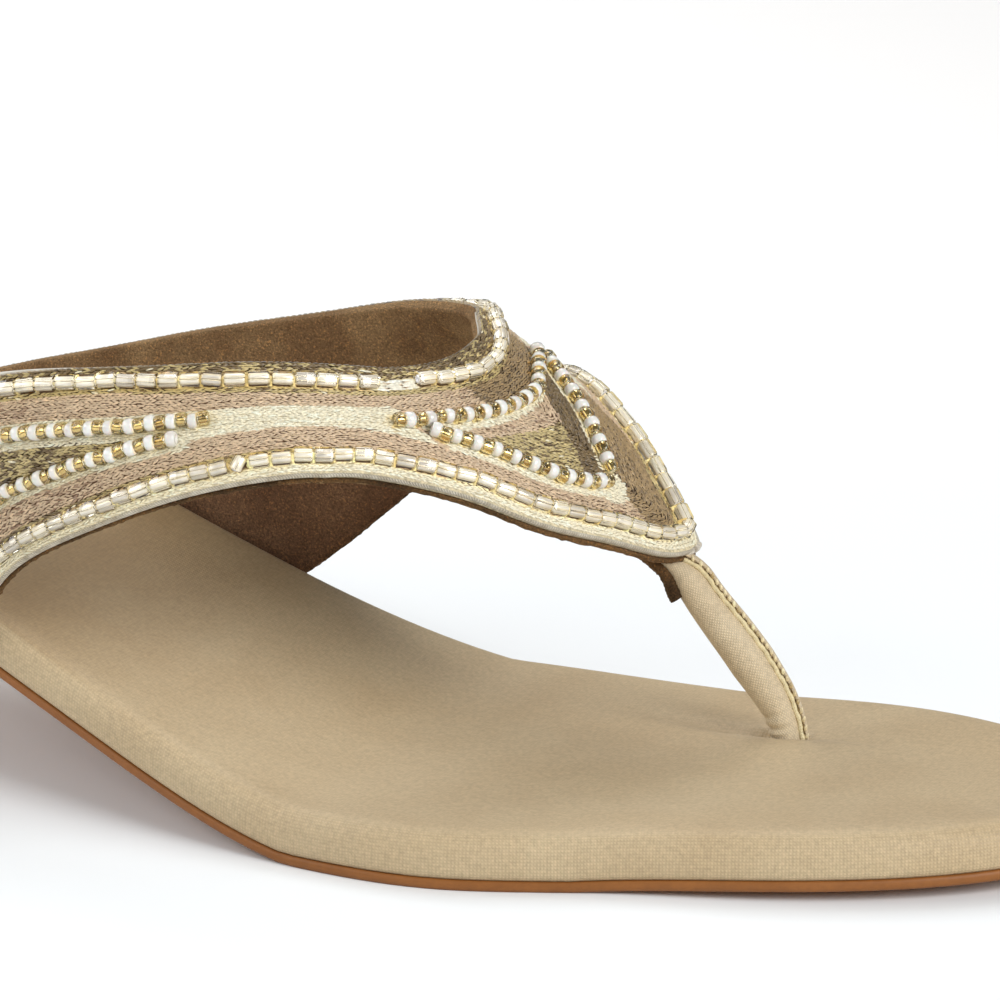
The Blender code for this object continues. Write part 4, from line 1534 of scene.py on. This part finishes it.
def bead_thread():
    """The bare run of beading thread where the throat's bugles are left out."""
    line = LINES["throat"]
    first, last = np.interp(THROAT_GAP, line.girth, line.run)
    seats = []
    for aside in (-0.75, -0.3, 0.15, 0.6):
        at = np.linspace(first + 1.0, last + 0.3, 3) + random.uniform(-0.3, 0.3)
        seats.append(line.seats(at, 0.2, 1.0, aside, random.normal(0, 0.1, len(at))))
    sew_thread("bead_thread", np.concatenate(seats),
               thread("beading_thread", shade(244, 238, 218), shade(226, 214, 182)),
               (2.9, 0.5, 0.35))


# ---- toe post
POST_LEAN = (
    (175.0, 0.5), (179.0, 1.4), (180.3, 1.6), (181.8, 1.2), (183.0, 0.8), (187.8, 0.6),
    (191.8, 0.6), (194.3, 0.9), (195.1, 1.1),
)
THONG_RADIUS = (
    (180.0, 2.25), (184.0, 2.45), (187.6, 2.7), (191.0, 2.8), (194.0, 2.5), (195.1, 2.3),
)
SEAM_TURN = math.radians(24)        # the seam faces forwards and a little inwards
THONG_OPENS = (179.4, 183.0)        # stations between which the flat top opens out round
TAIL_LENGTH = 10.4
LIP_STARTS = 4.0
FIN_HALF_WIDTH = 0.8
PUCKER_PITCH = 2.5
CREASES = ((0.0, 0.42), (1.4, 0.3), (-2.0, 0.16))       # place, depth
CREASE_REACH = 0.45
CREASE_BASE = 7.5                   # above the post's lower end
SEAM_STITCHES = (7.0, 2.0)          # free of stitches at the top and at the lower end
SEAM_STITCH_PITCH = 1.05


def post_opening(station):
    """0 where the post is pressed flat under the strap, 1 where it is round."""
    return smooth_step((station - THONG_OPENS[0]) / (THONG_OPENS[1] - THONG_OPENS[0]))


def post_route(count):
    """Places down the post, the directions to its seam and beside it, and the lengths."""
    route = np.array(POST_ROUTE)
    route[:, 0] += straight_line(POST_LEAN, route[:, 0])
    length = run_along(route)
    at = np.linspace(0, length[-1], count)
    centre = np.stack([spline(length, route[:, k], at) for k in range(3)], axis=1)
    down = unit(np.gradient(centre, axis=0))
    forwards = unit(np.cross(down, (0.0, 1.0, 0.0)))
    forwards *= np.sign(forwards[:, :1])
    turn = SEAM_TURN * post_opening(centre[:, :1])
    sideways = unit(np.cross(forwards, down))
    sideways *= np.sign(sideways[:, 1:2])
    ahead = forwards * np.cos(turn) + sideways * np.sin(turn)
    aside = sideways * np.cos(turn) - forwards * np.sin(turn)
    return centre, ahead, aside, at


def seam_stand(station):
    return np.maximum(smooth_step((station - 178.4) / 1.6), 0.2)


def post_width(station):
    return straight_line(THONG_RADIUS, station)


def post_depth(station):
    return post_width(station) * (POST_FLATNESS + (1 - POST_FLATNESS) * post_opening(station))


def post_section(station, along):
    """Section of the post at a length along it: (towards the seam, sideways) points."""
    depth, width = post_depth(station), post_width(station)
    start = math.asin(FIN_HALF_WIDTH / width)
    turns = np.linspace(start, FULL_TURN - start, 34)
    tube = [(depth * math.cos(turn), width * math.sin(turn)) for turn in turns]
    stand = seam_stand(station)
    pucker = 0.5 + 0.5 * math.cos(FULL_TURN * along / PUCKER_PITCH)
    wave = 0.1 * math.sin(FULL_TURN * along / 1.7 + 1.0)
    root = depth * math.cos(start)
    w = FIN_HALF_WIDTH
    # from the outer side's root, over the near lip, down into the groove, and over the far lip
    fin = [(root + ahead * stand, side) for ahead, side in (
        (-0.12 - 0.2 * pucker, -w - 0.02 + 0.2 * pucker),
        (0.02, -w - 0.1 + 0.1 * pucker),
        (0.14, -w - 0.26),
        (0.3 + wave * 0.4, -w - 0.24),
        (0.4 + wave * 0.4, -w - 0.02),
        (0.46, -w + 0.3),
        (0.68, -w + 0.34),
        (0.74, -w + 0.05 + wave),
        (0.88, -w - 0.06 + wave),
        (1.06, -w + 0.02),
        (1.16, -w + 0.35),
        (1.16, w - 0.35),
        (1.05, w - 0.05),
        (0.15, w),
    )]
    return np.array(tube + fin)


def post_rings(route, section_at):
    """Closed rings round the post, from its section at each station and length."""
    rings = []
    for point, towards, beside, along in zip(*route):
        section = section_at(point[0], along)
        rings.append(point + towards * section[:, :1] + beside * section[:, 1:])
    return closed_round(np.array(rings))


def lining_tail(finish):
    """Square-ended tail of the suede lining, glued under the top of the post."""
    def section(station, along):
        deep, wide = post_depth(station), post_width(station)
        wrap = math.radians(96 - 62 * along / TAIL_LENGTH)
        turns = np.linspace(-math.radians(35), wrap, 9)
        round_post = -np.stack([np.cos(turns), np.sin(turns)], axis=1)
        inner = round_post * (deep + 0.02, wide + 0.02)
        outer = round_post * (deep + 1.5, wide + 1.3)
        outer[[0, -1]] = outer[[0, -1]] * 0.6 + inner[[0, -1]] * 0.4
        both = np.concatenate([inner, outer[::-1]])
        return both + random.normal(0, 0.05, both.shape)

    route = post_route(160)
    route = [part[route[-1] <= TAIL_LENGTH] for part in route]
    rings = post_rings(route, section)
    skin_piece("lining_tail", rings, unrolled(rings[0], route[-1]), finish, "strap_lining",
               "upper", sharp=50)


def toe_post():
    """Wrapped thong, whose seam stands out in front, down through the slot."""
    route = post_route(120)
    at = route[-1]

    def section(station, along):
        points = post_section(station, along)
        low = along - (at[-1] - CREASE_BASE)
        squeeze = sum(depth * hump(low, place, CREASE_REACH) for place, depth in CREASES)
        turn = np.abs(np.arctan2(points[:, 1], points[:, 0]))
        press = squeeze * smooth_step((turn - 0.9) / 1.2) * (points[:, 1] < 1.0)
        return points * (1 - press / POST_RADIUS)[:, None]

    rings = post_rings(route, section)
    across, down = np.moveaxis(unrolled(rings[len(rings) // 2], at), -1, 0)
    flat = np.stack([across + down, down - across], axis=-1) * math.sqrt(0.5)
    finish = woven_cover("post_cover", shade(223, 205, 172), shade(208, 186, 150), threads=2700.0,
                         contrast=0.26)
    post_stitches(*route)
    seam_lip(route)
    skin_piece("toe_post_wrap", rings, flat, finish, "post_cover", "toe_post", sharp=70)


def post_stitches(centre, ahead, aside, at):
    """Small stitches down the groove of the post's seam."""
    length = np.arange(SEAM_STITCHES[0], at[-1] - SEAM_STITCHES[1], SEAM_STITCH_PITCH)
    point, ahead, aside = (
        np.stack([np.interp(length, at, part[:, k]) for k in range(3)], axis=1)
        for part in (centre, ahead, aside))
    ahead, aside = unit(ahead), unit(aside)
    depth = post_depth(point[:, :1])
    stand = seam_stand(point[:, :1])
    down = np.cross(ahead, aside)
    for name, out, side, slant, size, finish in (
            ("post_stitches", 0.57, 0.2, 0.0, (0.8, 0.36, 0.26),
             thread("seam_thread", shade(176, 148, 98), shade(112, 84, 48))),
            ("post_oversewing", 0.9, -0.08, 0.6, (0.95, 0.46, 0.26),
             thread("pale_seam_thread", shade(238, 220, 176), shade(190, 164, 112)))):
        seat = point + ahead * (depth * 0.95 + out * stand) + aside * (side - FIN_HALF_WIDTH)
        seats = np.stack([seat, unit(down + ahead * slant), -aside], axis=1)
        sew_thread(name, seats, finish, size, slot="post_cover")


def seam_lip(route):
    """Pale rolled lip of the cover along the outer side of the post's seam."""
    def section(station, along):
        wave = math.sin(FULL_TURN * along / PUCKER_PITCH)
        root = post_depth(station) * 0.95 + 0.18 * seam_stand(station) + 0.06 * wave
        radius = 0.34 + 0.05 * math.sin(FULL_TURN * along / 1.3)
        turns = np.linspace(0, FULL_TURN, 10, endpoint=False)
        return np.stack([root + radius * np.cos(turns),
                         -FIN_HALF_WIDTH - 0.1 + radius * np.sin(turns)], axis=1)

    route = [part[route[-1] >= LIP_STARTS] for part in route]
    rings = post_rings(route, section)
    finish = woven_cover("seam_lip", shade(246, 232, 188), shade(228, 208, 158), threads=2600.0)
    skin_piece("post_seam_lip", rings, unrolled(rings[0], route[-1]), finish, "post_cover",
               "toe_post")


# ---- setting
VIEW_TARGET = Vector((0.03349, 0.00555, 0.04180))
VIEW_AZIMUTH = math.radians(26)
VIEW_ELEVATION = math.radians(16.85)
VIEW_DISTANCE = 1.1
FOCAL_LENGTH = 283.2        # millimetres
SENSOR_WIDTH = 36.0
FAR_CLIP = 20.0
SKY_COLOUR = (0.95, 1.0, 1.05, 1.0)
SKY_STRENGTH = 0.15
LAMP_TARGET = Vector((0.03, 0.0, 0.03))
LAMPS = (
    # name, place, power
    ("toe_softbox", (0.93, -0.31, 0.58), 9.6),
    ("heel_softbox", (-0.83, -0.42, 0.58), 4.4),
    ("front_softbox", (-0.28, -0.90, 0.58), 1.9),
    ("back_softbox", (-0.87, 0.31, 0.58), 4.7),
    ("high_softbox", (-0.21, 0.49, 0.98), 3.4),
)
LAMP_SIZE = 0.6
FLOOR_SIZE = 6.0
# metres from the middle, colour: cooler and darker near the middle, a painted cool shade round the
# shoe
FLOOR_PAINTED_SHADE_RAMP = ((0.16, (0.915, 0.938, 0.952, 1.0)), (0.34, (0.99, 0.975, 0.96, 1.0)))


def aimed(name, data, place, direction):
    """Object in the scene that looks from a place in a direction."""
    made = in_scene(name, data)
    made.location = place
    made.rotation_mode = "QUATERNION"
    made.rotation_quaternion = direction.to_track_quat("-Z", "Y")
    return made


def camera_and_light():
    scene = bpy.context.scene
    lens = bpy.data.cameras.new("camera")
    lens.lens = FOCAL_LENGTH
    lens.sensor_width = SENSOR_WIDTH
    lens.clip_end = FAR_CLIP
    back = Vector((math.sin(VIEW_AZIMUTH) * math.cos(VIEW_ELEVATION),
                   -math.cos(VIEW_AZIMUTH) * math.cos(VIEW_ELEVATION),
                   math.sin(VIEW_ELEVATION)))
    scene.camera = aimed("camera", lens, VIEW_TARGET + back * VIEW_DISTANCE, -back)
    world = bpy.data.worlds.new("studio")
    world.use_nodes = True
    sky = world.node_tree.nodes["Background"].inputs
    sky["Color"].default_value = SKY_COLOUR
    sky["Strength"].default_value = SKY_STRENGTH
    scene.world = world
    for name, place, power in LAMPS:
        light = bpy.data.lights.new(name, "AREA")
        light.size = LAMP_SIZE
        light.energy = power
        aimed(name, light, place, LAMP_TARGET - Vector(place))
    scene.view_settings.view_transform = "Standard"
    scene.view_settings.look = "None"


def studio_floor():
    bm = bmesh.new()
    bmesh.ops.create_grid(bm, x_segments=4, y_segments=4, size=FLOOR_SIZE)
    floor = in_scene("studio_floor", mesh_of("studio_floor", bm))
    white = Finish("floor_white", roughness=0.9, specular=0.1)
    # the floor is not evenly white: near the shoe its colour carries a painted cool shade
    away = white.vector("LENGTH", {0: white.place()})["Value"]
    floor.data.materials.append(white.done(white.ramp(away, *FLOOR_PAINTED_SHADE_RAMP)))


camera_and_light()
studio_floor()
footbed()
outsole()
heel()
heel_tip()
strap_cloth()
raw_suede = suede("raw_suede", shade(112, 82, 50), shade(62, 44, 27), glitter=0.8)
# the lining's low part takes a painted shade
strap_lining(suede("suede_lining", shade(154, 126, 90), shade(120, 92, 63), glitter=0.62,
                   low=(0.76, 0.66, 0.74, 1.0)))
lining_tail(raw_suede)
edge_cord("lining_edge", "front", -0.28, ((0, -1.5),), ((0, 0.36),), raw_suede, "strap_lining",
          rough=0.2)
edge_cord("front_piping", "front", 0.1, ((0, -0.42),), ((0, 0.42),), ribbed_piping(),
          "piping_fabric")
edge_cord("rear_fold", "rear", -0.05, FOLD_LIFT, FOLD_RADIUS, pale_tape(), "piping_fabric",
          last=0.13)
embroidery()
rim_stitches()
corner_twist()
bugles()
seed_beads()
bead_thread()
toe_post()
